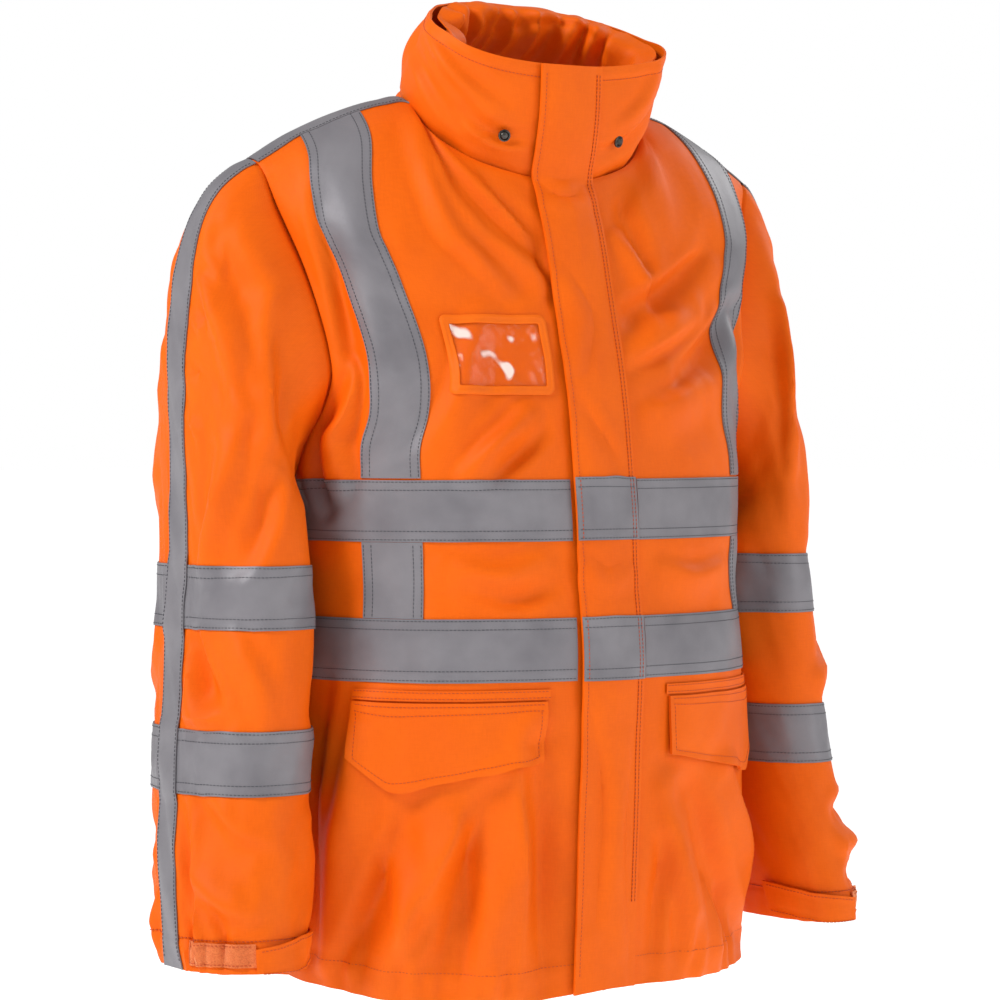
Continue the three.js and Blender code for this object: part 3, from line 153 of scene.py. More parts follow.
def table_value(rows, at, column):
    """A smooth value between the rows of a table whose first column is the height."""
    index = max(next((k for k, row in enumerate(rows) if row[0] >= at), len(rows) - 1), 1)
    low, high = rows[index - 1], rows[index]
    before, after = rows[max(index - 2, 0)], rows[min(index + 1, len(rows) - 1)]
    span = high[0] - low[0]
    leave = (high[column] - before[column]) / (high[0] - before[0]) * span
    arrive = (after[column] - low[column]) / (after[0] - low[0]) * span
    return hermite(low[column], high[column], leave, arrive, min(max((at - low[0]) / span, 0), 1))


class Curve:
    """A polyline that is read by its share of the length."""

    def __init__(self, points):
        self.points = np.asarray(points, float)
        steps = np.linalg.norm(np.diff(self.points, axis=0), axis=1)
        sums = np.concatenate([[0], np.cumsum(steps)])
        self.length = sums[-1]
        self.share = sums / self.length

    def at(self, parts):
        return np.stack([np.interp(parts, self.share, self.points[:, k]) for k in range(3)], axis=-1)


def section_curve(face, side, half, depth, square, edge_angle, low, high):
    """A quarter of a rounded section, from the centre line to an angle short of the side."""
    t = np.linspace(0, 1, 161)
    angle = np.radians(lerp(90, edge_angle, t))
    sign = -1 if face == "front" else 1
    x = half * np.maximum(np.cos(angle), 0) ** (2 / square)
    y = SIDE_Y + sign * (depth - sign * SIDE_Y) * np.sin(angle) ** (2 / square)
    return Curve(np.stack([side * x, y, lerp(low, high, t * t)], axis=-1))


def hem_lift(face, side, parts):
    centre = 9 if face == "front" else 5
    dip = 9 if face == "front" and side < 0 else 2
    return lerp(centre, 16, parts ** 3) - dip * np.sin(np.pi * np.minimum(parts * 1.3, 1))


def ring_points(face, side, height, parts):
    half, depth, square = (table_value(BODY_SECTIONS, height, k) for k in (1, 2 if face == "front" else 3, 4))
    points = section_curve(face, side, half, depth, square, 0, height, height).at(parts)
    points[:, 2] += hem_lift(face, side, parts) * max(1 - height / 120, 0)
    return points


def neck_points(side, angles):
    sine, cosine = np.sin(np.radians(angles)), np.cos(np.radians(angles))
    reach = np.where(sine > 0, NECK["front"], NECK["back"])
    rise = np.where(sine > 0, NECK["front_up"] - NECK["side_up"], NECK["side_up"] - NECK["back_up"]) * sine
    x = side * NECK["half"] * np.maximum(cosine, 0) ** 0.95
    return np.stack([x, NECK["side_y"] - reach * sine, NECK["side_up"] + rise], axis=-1)


def spline_weights(t):
    return (
        -0.5 * t + t * t - 0.5 * t ** 3,
        1 - 2.5 * t * t + 1.5 * t ** 3,
        0.5 * t + 2 * t * t - 1.5 * t ** 3,
        -0.5 * t * t + 0.5 * t ** 3,
    )


def through_points(points, steps=20):
    """A smooth polyline through a few points."""
    points = np.asarray(points, float)
    padded = np.vstack([2 * points[0] - points[1], points, 2 * points[-1] - points[-2]])
    t = np.linspace(0, len(points) - 1, (len(points) - 1) * steps + 1)
    index = np.clip(t.astype(int), 0, len(points) - 2)
    weights = spline_weights(t - index)
    return sum(w[:, None] * padded[index + k] for k, w in enumerate(weights))


def top_edge(face, side, parts):
    corner = (FRONT_COLUMNS if face == "front" else BACK_COLUMNS)[2 if face == "front" else 1][1][5]
    start = 90 if face == "front" else -90
    neck = Curve(neck_points(side, lerp(start, NECK_CORNER, np.linspace(0, 1, 81))))
    line = np.vstack([neck_points(side, np.array([NECK_CORNER])), [(side * x, y, up) for x, y, up in SHOULDER_LINE]])
    shoulder = Curve(through_points(line))
    on_neck = neck.at(np.minimum(parts / corner, 1))
    beyond = shoulder.at(np.maximum((parts - corner) / (1 - corner), 0))
    return np.where((parts <= corner)[:, None], on_neck, beyond)


def control_points(face, side, row, parts):
    if row < 0:
        return ring_points(face, side, ARMPIT - 50, parts)
    if row == 0:
        return ring_points(face, side, ARMPIT, parts)
    if row >= 4:
        points = top_edge(face, side, parts)
        if row == 4:
            over = smoothstep(parts, 0.05, 0.6)
            points[:, 1] += (-1 if face == "front" else 1) * lerp(5, 14.5, over)
            points[:, 2] -= lerp(14, 3.5, over)
        return points
    centre, edge, half, depth, square, angle = YOKE_ROWS[face][row - 1]
    return section_curve(face, side, half, depth, square, angle, centre, edge).at(parts)


def level_points(face, side, level, parts):
    if level <= 1:
        return ring_points(face, side, level * ARMPIT, parts)
    row = min(int(level - 1 + 1e-9), 4)
    t = level - 1 - row
    before, start, end = (control_points(face, side, row + step, parts) for step in (-1, 0, 1))
    span = np.linalg.norm(end - start, axis=1)[:, None]

    def slope(a, b, c):
        first = np.linalg.norm(b - a, axis=1)[:, None]
        second = np.linalg.norm(c - b, axis=1)[:, None]
        return ((b - a) * (second / first) + (c - b) * (first / second)) / (first + second) * span

    leave = slope(before, start, end)
    arrive = slope(start, end, control_points(face, side, row + 2, parts)) if row < 4 else end - start
    return hermite(start, end, leave, arrive, t)


def flat_up(level):
    return min(level, 1) * ARMPIT + sum(s * min(max(level - 1 - k, 0), 1) for k, s in enumerate(YOKE_STEPS))


def column_parts(columns, level):
    place = max(level - 1, 0)
    row = min(int(place + 1e-9), 4)
    parts = []
    for _, at, steps in columns:
        here = lerp(at[row], at[row + 1], place - row)
        parts += [lerp(parts[-1], here, i / steps) for i in range(1, steps)] if steps else []
        parts.append(here)
    return np.array(parts)


def column_index(columns, name):
    total = 0
    for column, _, steps in columns:
        total += steps
        if column == name:
            return total
    raise KeyError(name)


def half_grid(face, side):
    columns = FRONT_COLUMNS if face == "front" else BACK_COLUMNS
    parts = np.array([column_parts(columns, level) for level in LEVELS])
    points = np.array([level_points(face, side, level, row) for level, row in zip(LEVELS, parts)])
    return points, parts


def blob(value):
    return np.exp(-np.minimum(value * value, 40))


# All creases are deepened by one factor and narrowed by another. Beside each runs a shallow turn the other way, and
# a crease keeps a part of its depth at its ends.
CREASE_GAIN = 2.2
CREASE_SHARPNESS = 0.85
CREASE_TURN = dict(depth=0.28, at=1.75, width=0.75)
CREASE_END = 0.25
# Sizes of the broad and the small lumps of rumpled cloth, across and up, and up alone on a round piece.
BROAD_LUMP, SMALL_LUMP = (46, 61), (19, 27)
ROUND_BROAD_UP, ROUND_SMALL_UP = 48, 21


def crease_height(creases, across, up):
    """The height of all creases at places of a flat panel. Each is a line of places, a width and a depth, and its
    last number leans it over: one of its sides is then steeper than the other."""
    total = np.zeros_like(across)
    for line, width, depth, lean in creases:
        line = np.asarray(line, float)
        if len(line) > 2:
            line = through_points(line, 5)
        lengths = np.concatenate([[0], np.cumsum(np.hypot(*np.diff(line, axis=0).T))])
        best = np.full(across.shape, 1e9)
        signed, share = np.zeros_like(across), np.zeros_like(across)
        for k in range(len(line) - 1):
            start, step = line[k], line[k + 1] - line[k]
            size = float(step @ step)
            t = np.clip(((across - start[0]) * step[0] + (up - start[1]) * step[1]) / size, 0, 1)
            dx, dy = across - start[0] - t * step[0], up - start[1] - t * step[1]
            far = np.hypot(dx, dy)
            closer = far < best
            best = np.where(closer, far, best)
            signed = np.where(closer, (step[0] * dy - step[1] * dx) / math.sqrt(size), signed)
            share = np.where(closer, (lengths[k] + t * math.sqrt(size)) / lengths[-1], share)
        u = (best + lean * signed) / (width * CREASE_SHARPNESS)
        profile = blob(u) - CREASE_TURN["depth"] * blob((u - CREASE_TURN["at"]) / CREASE_TURN["width"])
        taper = lerp(CREASE_END, 1, np.sin(np.pi * np.clip(share, 0.04, 0.96)) ** 0.7)
        total = total + depth * taper * profile
    return total


def value_noise(x, y, seed):
    """Smooth noise from -1 to 1 with one lump for each unit."""
    def corner(i, j):
        value = np.sin(i * 127.1 + j * 311.7 + seed * 74.7) * 43758.5453
        return 2 * (value - np.floor(value)) - 1

    i, j = np.floor(x), np.floor(y)
    u, v = x - i, y - j
    u, v = u * u * (3 - 2 * u), v * v * (3 - 2 * v)
    low = lerp(corner(i, j), corner(i + 1, j), u)
    high = lerp(corner(i, j + 1), corner(i + 1, j + 1), u)
    return lerp(low, high, v)


class Surface:
    """A smooth surface through a grid of points, with its creases. Places are row and column numbers."""

    def __init__(self, points, across, up, creases, keep, seed=0, rumple=0.9, period=None):
        self.closed = period is not None
        self.period = period
        self.rows, self.columns = points.shape[:2]
        self.creases, self.seed, self.rumple = creases, seed, rumple
        self.values = self.pad(np.concatenate([points, np.stack([across, up, keep], axis=-1)], axis=-1))

    def pad(self, grid):
        grid = np.concatenate([2 * grid[:1] - grid[1:2], grid, 2 * grid[-1:] - grid[-2:-1]], axis=0)
        if self.closed:
            before, after = grid[:, -1:].copy(), grid[:, :2].copy()
            before[..., 3] -= self.period
            after[..., 3] += self.period
            return np.concatenate([before, grid, after], axis=1)
        first, last = 2 * grid[:, :1] - grid[:, 1:2], 2 * grid[:, -1:] - grid[:, -2:-1]
        return np.concatenate([first, grid, last], axis=1)

    def smooth(self, rows, columns):
        """Points and flat places, as x, y, height, across, up and how much of a crease shows."""
        rows, columns = np.broadcast_arrays(np.asarray(rows, float), np.asarray(columns, float))
        wrap = np.zeros_like(columns)
        if self.closed:
            wrap = np.floor(columns / self.columns)
            columns = columns - wrap * self.columns
        i = np.clip(np.floor(rows).astype(int), 0, self.rows - 2)
        j = np.clip(np.floor(columns).astype(int), 0, self.columns - (1 if self.closed else 2))
        row_weights, column_weights = spline_weights(rows - i), spline_weights(columns - j)
        total = 0
        for a, row_weight in enumerate(row_weights):
            for b, column_weight in enumerate(column_weights):
                total = total + (row_weight * column_weight)[..., None] * self.values[i + a, j + b]
        if self.closed:
            total[..., 3] += wrap * self.period
        return total

    def crease(self, across, up, keep):
        shifts = (-self.period, 0, self.period) if self.closed else (0,)
        height = sum(crease_height(self.creases, across + shift, up) for shift in shifts)
        if not self.closed:
            broad = value_noise(across / BROAD_LUMP[0] + 3, up / BROAD_LUMP[1], self.seed)
            small = value_noise(across / SMALL_LUMP[0], up / SMALL_LUMP[1], self.seed + 5)
        else:
            turn = across / self.period * 2 * np.pi
            ring = self.period / BROAD_LUMP[0] / 2 / np.pi
            east, north = ring * np.cos(turn), ring * np.sin(turn)
            broad = value_noise(east * 2 + 9, north * 2 + up / ROUND_BROAD_UP, self.seed)
            small = value_noise(east * 5, north * 5 + up / ROUND_SMALL_UP, self.seed + 5)
        height = height + self.rumple * (broad + 0.5 * small)
        return CREASE_GAIN * height * np.clip(keep, 0, 1)

    def normal(self, rows, columns, points_at=None):
        points_at = points_at or (lambda i, j: self.smooth(i, j)[..., :3])
        step = 0.04
        top = self.rows - 1
        up = points_at(np.minimum(rows + step, top), columns) - points_at(np.maximum(rows - step, 0), columns)
        if self.closed:
            low, high = columns - step, columns + step
        else:
            low, high = np.maximum(columns - step, 0), np.minimum(columns + step, self.columns - 1)
        right = points_at(rows, high) - points_at(rows, low)
        return unit(np.cross(right, up))

    def creased(self, rows, columns):
        rows, columns = np.broadcast_arrays(np.asarray(rows, float), np.asarray(columns, float))
        values = self.smooth(rows, columns)
        height = self.crease(values[..., 3], values[..., 4], values[..., 5])
        return values[..., :3] + self.normal(rows, columns) * height[..., None]

    def patch(self, rows, columns):
        """Points, unit normals and flat places of a grid of places."""
        if np.ndim(rows) == 1:
            rows, columns = np.meshgrid(rows, columns, indexing="ij")
        points = self.creased(rows, columns)
        normals = self.normal(rows, columns, self.creased)
        return points, normals, self.smooth(rows, columns)[..., 3:5]


def unit(vectors):
    return vectors / np.maximum(np.linalg.norm(vectors, axis=-1, keepdims=True), 1e-9)


def finer(start, end, steps):
    """Places from one grid line to another, with so many steps in each cell."""
    return np.linspace(start, end, int(round(abs(end - start) * steps)) + 1)


# Creases of each panel: a line of places in the flat panel (across from the centre front or back, up from the
# hem), half width, depth (a trough is negative) and lean. Sizes are in millimetres, before the two factors above.
FRONT_RIGHT_CREASES = [
    ([(128, 690), (88, 650), (45, 610)], 12, -4.5, 0.2),
    ([(112, 672), (70, 632), (40, 590)], 11, 4.0, -0.3),
    ([(150, 668), (112, 618), (92, 590)], 13, 3.4, 0.3),
    ([(62, 690), (40, 640), (36, 580)], 10, -3.2, 0.2),
    ([(240, 640), (262, 560), (275, 470)], 14, -4.5, 0.3),
    ([(268, 500), (252, 455), (225, 418)], 11, 6.0, -0.4),
    ([(285, 455), (262, 420), (246, 392)], 9, -5.0, 0.3),
    ([(84, 468), (104, 445), (120, 424)], 12, 4.2, 0.3),
    ([(60, 452), (84, 432), (96, 420)], 10, -2.6, -0.3),
    ([(118, 560), (150, 500), (158, 440)], 16, 2.6, 0.2),
    ([(60, 352), (100, 342), (140, 351)], 11, 3.0, 0.4),
    ([(52, 330), (85, 322), (120, 330)], 9, -2.4, -0.3),
    ([(66, 205), (56, 120), (52, 12)], 15, -6.5, 0.4),
    ([(84, 178), (78, 100), (80, 10)], 12, 4.5, -0.4),
    ([(96, 172), (124, 96), (140, 14)], 16, -6.0, 0.3),
    ([(110, 150), (104, 80), (112, 8)], 11, 4.2, 0.3),
    ([(130, 140), (166, 70), (190, 12)], 15, 5.2, -0.4),
    ([(168, 158), (196, 80), (222, 20)], 14, -4.2, 0.4),
    ([(205, 235), (226, 130), (236, 24)], 17, 5.0, 0.3),
    ([(186, 140), (172, 70), (160, 10)], 10, 2.6, 0.3),
    ([(246, 250), (262, 150), (258, 30)], 14, -4.5, -0.2),
    ([(150, 40), (156, 18), (154, 2)], 7, -2.0, 0),
    ([(95, 34), (98, 14), (97, 1)], 6, 1.8, 0),
    ([(210, 46), (214, 20), (212, 4)], 7, 2.2, 0),
]
FRONT_LEFT_CREASES = [
    ([(52, 566), (110, 590), (168, 628)], 14, -4.2, 0.3),
    ([(46, 520), (96, 538), (150, 560)], 13, 4.0, -0.4),
    ([(118, 506), (165, 530), (214, 566)], 16, -4.2, 0.3),
    ([(60, 470), (104, 480), (150, 500)], 12, 3.2, 0.4),
    ([(54, 640), (74, 600), (86, 560)], 11, 3.0, 0.3),
    ([(50, 690), (60, 655), (84, 620)], 12, -3.2, 0.2),
    ([(238, 560), (256, 500), (270, 440)], 13, -4.5, 0.3),
    ([(60, 345), (96, 338), (140, 346)], 11, 2.8, 0.4),
    ([(90, 160), (140, 80), (190, 22)], 18, -5.5, 0.4),
    ([(52, 165), (78, 84), (98, 10)], 14, 4.6, -0.4),
    ([(58, 120), (52, 60), (50, 10)], 10, -3.4, 0.3),
    ([(138, 176), (186, 104), (232, 40)], 15, 4.6, 0.4),
    ([(120, 76), (128, 40), (132, 4)], 9, 3.2, 0.3),
    ([(150, 66), (158, 34), (160, 4)], 8, -3.0, 0),
    ([(92, 52), (96, 26), (94, 2)], 7, -2.4, 0),
    ([(226, 230), (246, 120), (250, 20)], 15, -4.4, 0.2),
]
# Across is positive towards the wearer's left here.
BACK_CREASES = [
    ([(-128, 650), (-88, 580), (-66, 500)], 16, -5.0, 0.3),
    ([(-104, 660), (-62, 610), (-30, 570)], 14, 4.2, -0.3),
    ([(150, 610), (118, 545), (92, 470)], 17, 5.0, 0.3),
    ([(120, 660), (80, 620), (48, 596)], 13, -3.8, 0.2),
    ([(-236, 560), (-214, 500), (-170, 446)], 15, 4.6, 0.4),
    ([(238, 566), (208, 510), (176, 452)], 15, -4.6, 0.4),
    ([(-20, 690), (10, 640), (4, 590)], 13, 2.6, 0.2),
    ([(-40, 480), (20, 462), (90, 452)], 15, -3.0, 0.4),
    ([(-130, 350), (-60, 338), (10, 345)], 13, 3.2, 0.4),
    ([(40, 356), (110, 336), (170, 342)], 12, -2.8, 0.3),
    ([(-82, 235), (-110, 130), (-132, 22)], 18, -6.5, 0.3),
    ([(-52, 200), (-70, 110), (-74, 10)], 14, 4.6, -0.4),
    ([(-8, 220), (-16, 110), (-6, 12)], 16, -4.2, 0.3),
    ([(62, 240), (76, 130), (92, 18)], 18, 5.6, 0.3),
    ([(40, 170), (36, 90), (44, 10)], 12, -3.8, 0.2),
    ([(182, 226), (168, 130), (148, 50)], 16, -5.5, 0.4),
    ([(120, 150), (126, 80), (124, 10)], 12, 3.6, 0.2),
    ([(-176, 230), (-196, 120), (-204, 20)], 16, 4.8, 0.3),
    ([(-236, 220), (-244, 120), (-238, 30)], 14, -4.0, 0.2),
    ([(222, 210), (238, 110), (244, 30)], 14, 3.8, 0.3),
]
# Across is from the outermost line, positive to the front, and up is the height above the hem.
SLEEVE_RIGHT_CREASES = [
    ([(48, 610), (92, 560), (118, 500)], 14, -4.2, 0.3),
    ([(40, 575), (74, 530), (92, 470)], 12, 3.4, -0.3),
    ([(100, 556), (120, 500), (128, 430)], 13, 3.6, 0.3),
    ([(96, 470), (86, 420), (62, 350)], 14, 5.0, 0.4),
    ([(70, 440), (66, 400), (48, 362)], 11, -3.4, 0.3),
    ([(130, 430), (116, 386), (100, 352)], 12, -4.6, 0.3),
    ([(26, 586), (44, 580), (58, 568)], 6, -1.8, 0),
    ([(24, 548), (40, 538), (58, 534)], 6, 1.8, 0),
    ([(24, 508), (38, 500), (52, 500)], 6, -1.8, 0),
    ([(24, 470), (40, 458), (50, 456)], 6, 1.6, 0),
    ([(44, 292), (70, 256), (84, 236)], 11, -4.4, 0.4),
    ([(86, 236), (66, 230), (34, 232)], 9, 3.4, 0.4),
    ([(92, 294), (112, 262), (118, 232)], 11, 3.0, 0.3),
    ([(30, 292), (36, 262), (30, 236)], 10, 2.6, -0.3),
    ([(62, 166), (96, 136), (120, 128)], 12, -3.8, 0.4),
    ([(58, 110), (92, 88), (112, 84)], 11, 3.8, -0.3),
    ([(34, 160), (44, 110), (40, 66)], 12, -3.2, 0.3),
    ([(80, 80), (86, 66), (84, 44)], 6, -2.4, 0),
    ([(56, 78), (60, 60), (58, 42)], 6, 2.2, 0),
    ([(36, 74), (38, 60), (36, 42)], 5, -1.8, 0),
    ([(-40, 560), (-84, 500), (-112, 430)], 16, -2.4, 0.3),
    ([(-70, 440), (-96, 400), (-120, 366)], 14, 1.4, 0.3),
    ([(-50, 300), (-86, 262), (-120, 240)], 13, 2.0, 0.3),
    ([(-40, 166), (-84, 120), (-120, 96)], 13, -2.4, 0.3),
    ([(-36, 90), (-60, 66), (-62, 44)], 8, 2.6, 0),
    ([(176, 380), (190, 300), (182, 236)], 15, -4.0, 0.2),
    ([(-170, 360), (-186, 250), (-176, 160)], 15, 4.0, 0.2),
    ([(168, 150), (180, 100), (172, 60)], 12, 3.0, 0.2),
]
SLEEVE_LEFT_CREASES = [
    ([(54, 600), (88, 540), (112, 470)], 15, -4.6, 0.3),
    ([(96, 560), (118, 500), (126, 430)], 13, 3.8, 0.3),
    ([(60, 470), (84, 420), (90, 366)], 13, 3.4, -0.3),
    ([(36, 560), (48, 500), (42, 440)], 11, 2.4, 0.2),
    ([(52, 292), (78, 262), (112, 246)], 12, 4.0, 0.4),
    ([(36, 250), (66, 234), (100, 230)], 9, -3.0, 0.3),
    ([(38, 160), (70, 136), (112, 132)], 12, -4.6, 0.4),
    ([(30, 128), (64, 104), (112, 100)], 11, 4.2, -0.4),
    ([(36, 96), (70, 80), (110, 78)], 9, -3.4, 0.3),
    ([(60, 70), (64, 56), (62, 42)], 6, 2.2, 0),
    ([(-46, 560), (-90, 510), (-116, 450)], 16, 4.6, 0.3),
    ([(-60, 430), (-92, 396), (-118, 370)], 14, -4.0, 0.3),
    ([(-44, 296), (-84, 262), (-118, 246)], 13, -3.8, 0.3),
    ([(-110, 156), (-80, 130), (-44, 108)], 13, -4.2, 0.3),
    ([(-100, 116), (-70, 92), (-40, 80)], 11, 3.6, 0.3),
    ([(176, 380), (188, 300), (180, 236)], 15, 3.8, 0.2),
    ([(-172, 360), (-184, 250), (-176, 160)], 15, -3.8, 0.2),
]
# Across is from the collar's right front edge round the neck, up is from the neckline.
COLLAR_CREASES = [
    ([(150, 84), (110, 66), (62, 42)], 9, 2.2, 0.4),
    ([(128, 86), (92, 70), (52, 54)], 7, -1.7, 0.3),
    ([(170, 60), (130, 44), (92, 22)], 9, -1.9, 0.3),
    ([(86, 34), (60, 26), (34, 28)], 6, -1.9, 0.3),
    ([(80, 22), (52, 16), (30, 20)], 6, 1.4, -0.3),
    ([(200, 80), (190, 50), (206, 20)], 10, 1.7, 0.3),
    ([(262, 78), (280, 48), (272, 16)], 12, -1.9, 0.3),
    ([(330, 82), (318, 50), (336, 18)], 12, 1.9, 0.3),
    ([(400, 80), (416, 46), (404, 16)], 11, -1.7, 0.3),
    ([(500, 80), (520, 56), (546, 40)], 9, 2.0, 0.4),
    ([(470, 70), (500, 40), (530, 24)], 9, -1.9, 0.3),
    ([(520, 30), (548, 22), (572, 24)], 7, -1.7, 0.3),
]
FLAP_CREASES = [
    ([(-24, 600), (-8, 560), (-18, 510)], 9, 1.2, 0.3),
    ([(-20, 480), (0, 452), (12, 430)], 8, -1.2, 0.3),
    ([(-26, 350), (-6, 336), (14, 342)], 8, 1.3, 0.3),
    ([(-22, 232), (-6, 150), (-14, 60)], 9, -1.4, 0.3),
    ([(10, 210), (4, 120), (12, 30)], 8, 1.2, 0.3),
    ([(-24, 700), (-4, 690), (16, 700)], 8, -1.2, 0.3),
]


def seam_keep(across, up, near_centre):
    """How much of a crease shows: none at a seam, and less under the storm flap."""
    to_seam = np.minimum(QUARTER - np.abs(across), flat_up(TOP_LEVEL) - up)
    keep = np.clip(to_seam / 24, 0, 1)
    return keep * (lerp(0.3, 1, smoothstep(np.abs(across), 26, 52)) if near_centre else 1)


def front_surface(side, creases, seed):
    points, parts = half_grid("front", side)
    across = parts * QUARTER
    if side < 0:
        points, across = points[:, ::-1], across[:, ::-1]
    up = np.repeat([[flat_up(level)] for level in LEVELS], points.shape[1], axis=1)
    return Surface(points, across, up, creases, seam_keep(across, up, True), seed)


def back_surface():
    halves = {}
    for side in (-1, 1):
        points, parts = half_grid("back", side)
        halves[side] = points, side * parts * QUARTER
    points = np.concatenate([halves[1][0][:, :0:-1], halves[-1][0]], axis=1)
    across = np.concatenate([halves[1][1][:, :0:-1], halves[-1][1]], axis=1)
    up = np.repeat([[flat_up(level)] for level in LEVELS], points.shape[1], axis=1)
    return Surface(points, across, up, BACK_CREASES, seam_keep(across, up, False), 3)


front_right = front_surface(-1, FRONT_RIGHT_CREASES, 1)
front_left = front_surface(1, FRONT_LEFT_CREASES, 2)
back = back_surface()
FRONT_LAST = front_left.columns - 1
BACK_MIDDLE = (back.columns - 1) // 2
grid_of = {name: s.values[1:-1, 1:-1, :3] for name, s in
           (("front_right", front_right), ("front_left", front_left), ("back", back))}


def armhole_ring(side):
    """The panels' edge points: top, down the front, armpit, up the back."""
    front = grid_of["front_right"][:, 0] if side < 0 else grid_of["front_left"][:, -1]
    behind = grid_of["back"][:, -1] if side < 0 else grid_of["back"][:, 0]
    return np.concatenate([front[ARMPIT_ROW:][::-1], behind[ARMPIT_ROW + 1:TOP_ROW]])


def sleeve_curve(side, ring, face):
    inner_x, inner_up, outer_x, outer_up, mid_y, half, armhole_share = ring
    outer_x -= LEFT_PULL * (1 - armhole_share) if side > 0 else 0
    angle = np.pi * np.linspace(0, 1, 181)
    cosine, sine = (signed_power(v, 2 / SLEEVE_SQUARE) for v in (np.cos(angle), np.sin(angle)))
    x = lerp(inner_x, outer_x, (1 + cosine) / 2)
    up = lerp(inner_up, outer_up, (1 + cosine) / 2)
    return Curve(np.stack([side * x, mid_y - face * half * sine, up], axis=-1))


def sleeve_ring(side, ring, armhole):
    armpit_column = TOP_ROW - ARMPIT_ROW
    halves = []
    for face in (1, -1):
        curve = sleeve_curve(side, ring, face)
        points = armhole if face > 0 else np.concatenate([armhole[:1], armhole[:0:-1]])
        steps = [0] + [np.linalg.norm(points[k % len(points)] - points[k - 1]) for k in range(2, armpit_column + 1)]
        done = np.cumsum(steps)
        parts = np.concatenate([[0], lerp(STRIPE_HALF / curve.length, 1, done / done[-1])])
        halves.append(curve.at(parts))
    return np.concatenate([halves[0], halves[1][-2:0:-1]])


def sleeve_surface(side, creases, seed):
    armhole = armhole_ring(side)
    first = sleeve_ring(side, SLEEVE_RINGS[0], armhole)
    rings = [armhole] + [sleeve_ring(side, ring, armhole) + (armhole - first) * ring[6] for ring in SLEEVE_RINGS[1:]]
    grid = np.array(rings[::-1])
    if side > 0:
        grid = np.concatenate([grid[:, :1], grid[:, :0:-1]], axis=1)
    count = grid.shape[1]
    across = np.repeat([-side * SLEEVE_COLUMN * np.arange(count)], len(grid), axis=0)
    keep = np.repeat(np.clip((len(grid) - 1 - np.arange(len(grid))) / 3, 0, 1)[:, None], count, axis=1)
    return Surface(grid, across, grid[..., 2], creases, keep, seed, period=-side * SLEEVE_COLUMN * count)


sleeves = {"right": sleeve_surface(-1, SLEEVE_RIGHT_CREASES, 4), "left": sleeve_surface(1, SLEEVE_LEFT_CREASES, 5)}
SLEEVE_TOP = len(SLEEVE_RINGS) - 1


def collar_section(height, angle):
    def mix(key):
        return lerp(NECK[key], COLLAR_TOP[key], height)

    bulge = COLLAR_BULGE * math.sin(math.pi * height)
    sine, cosine = np.sin(angle), np.cos(angle)
    depth = np.where(sine > 0, mix("front"), mix("back")) + bulge
    rise = np.where(sine > 0, mix("front_up") - mix("side_up"), mix("side_up") - mix("back_up"))
    square = lerp(2.1, 2.35, height)
    x = (mix("half") + bulge) * signed_power(cosine, 2 / square)
    return np.stack([x, mix("side_y") - depth * signed_power(sine, 2 / square), mix("side_up") + rise * sine], axis=-1)


def collar_lean(share):
    """How far the collar's top leans to the wearer's left front, and how far its back corner rises."""
    aside = 6.5 * smoothstep(1 - share, 0.05, 0.3) + 6.5 * blob((share - 0.17) / 0.09)
    up = 5 * blob((share - 0.62) / 0.14)
    return np.stack([0.85 * aside, -0.53 * aside, up], axis=-1) * smoothstep(share, 0.06, 0.14)[:, None]


def collar_curve(height):
    """The collar at a height, from the centre front over the wearer's left and the back to the front again."""
    half = lerp(NECK["half"], COLLAR_TOP["half"], height)
    start = math.acos((7 / half) ** 1.1)
    share = np.linspace(0, 1, 401)
    points = collar_section(height, start - share * 2 * (math.pi / 2 + start))
    return Curve(points + height ** 1.8 * collar_lean(share))


def collar_surface():
    neck = column_index(FRONT_COLUMNS, "neck")
    back_neck = column_index(BACK_COLUMNS, "neck")
    line = np.concatenate([
        grid_of["front_left"][TOP_ROW, :neck],
        grid_of["back"][TOP_ROW, BACK_MIDDLE - back_neck:BACK_MIDDLE + back_neck + 1],
        grid_of["front_right"][TOP_ROW, FRONT_LAST - neck + 1:],
    ])
    base = np.empty((2 * len(line) - 1, 3))
    base[::2], base[1::2] = line, (line[1:] + line[:-1]) / 2
    parts = Curve(base).share
    grid = np.array([base] + [collar_curve(height).at(parts) for height in COLLAR_ROWS])
    length = Curve(base).length
    across = np.repeat([(1 - parts) * length], len(grid), axis=0)
    up = np.repeat(np.array([[0, *COLLAR_ROWS]]).T * COLLAR_HEIGHT, grid.shape[1], axis=1)
    keep = np.clip(np.minimum(np.minimum(across, length - across) / 20, up / 16), 0, 1)
    return Surface(grid, across, up, COLLAR_CREASES, keep, 6, rumple=0.7)


collar = collar_surface()


def front_line(x):
    """Points up the centre front over the body and the collar, at one distance from the centre."""
    side = -1 if x < 0 else 1
    points = []
    for level in LEVELS:
        part = abs(x) / QUARTER
        for _ in range(5):
            point = level_points("front", side, level, np.array([part]))[0]
            part *= abs(x) / max(abs(point[0]), 1e-6)
        points.append(point)
    for height in COLLAR_ROWS:
        curve = collar_section(height, np.pi / 2 - np.linspace(0, 1.4, 300))
        points.append([side * abs(x), *(np.interp(abs(x), curve[:, 0], curve[:, k]) for k in (1, 2))])
    return np.array(points)


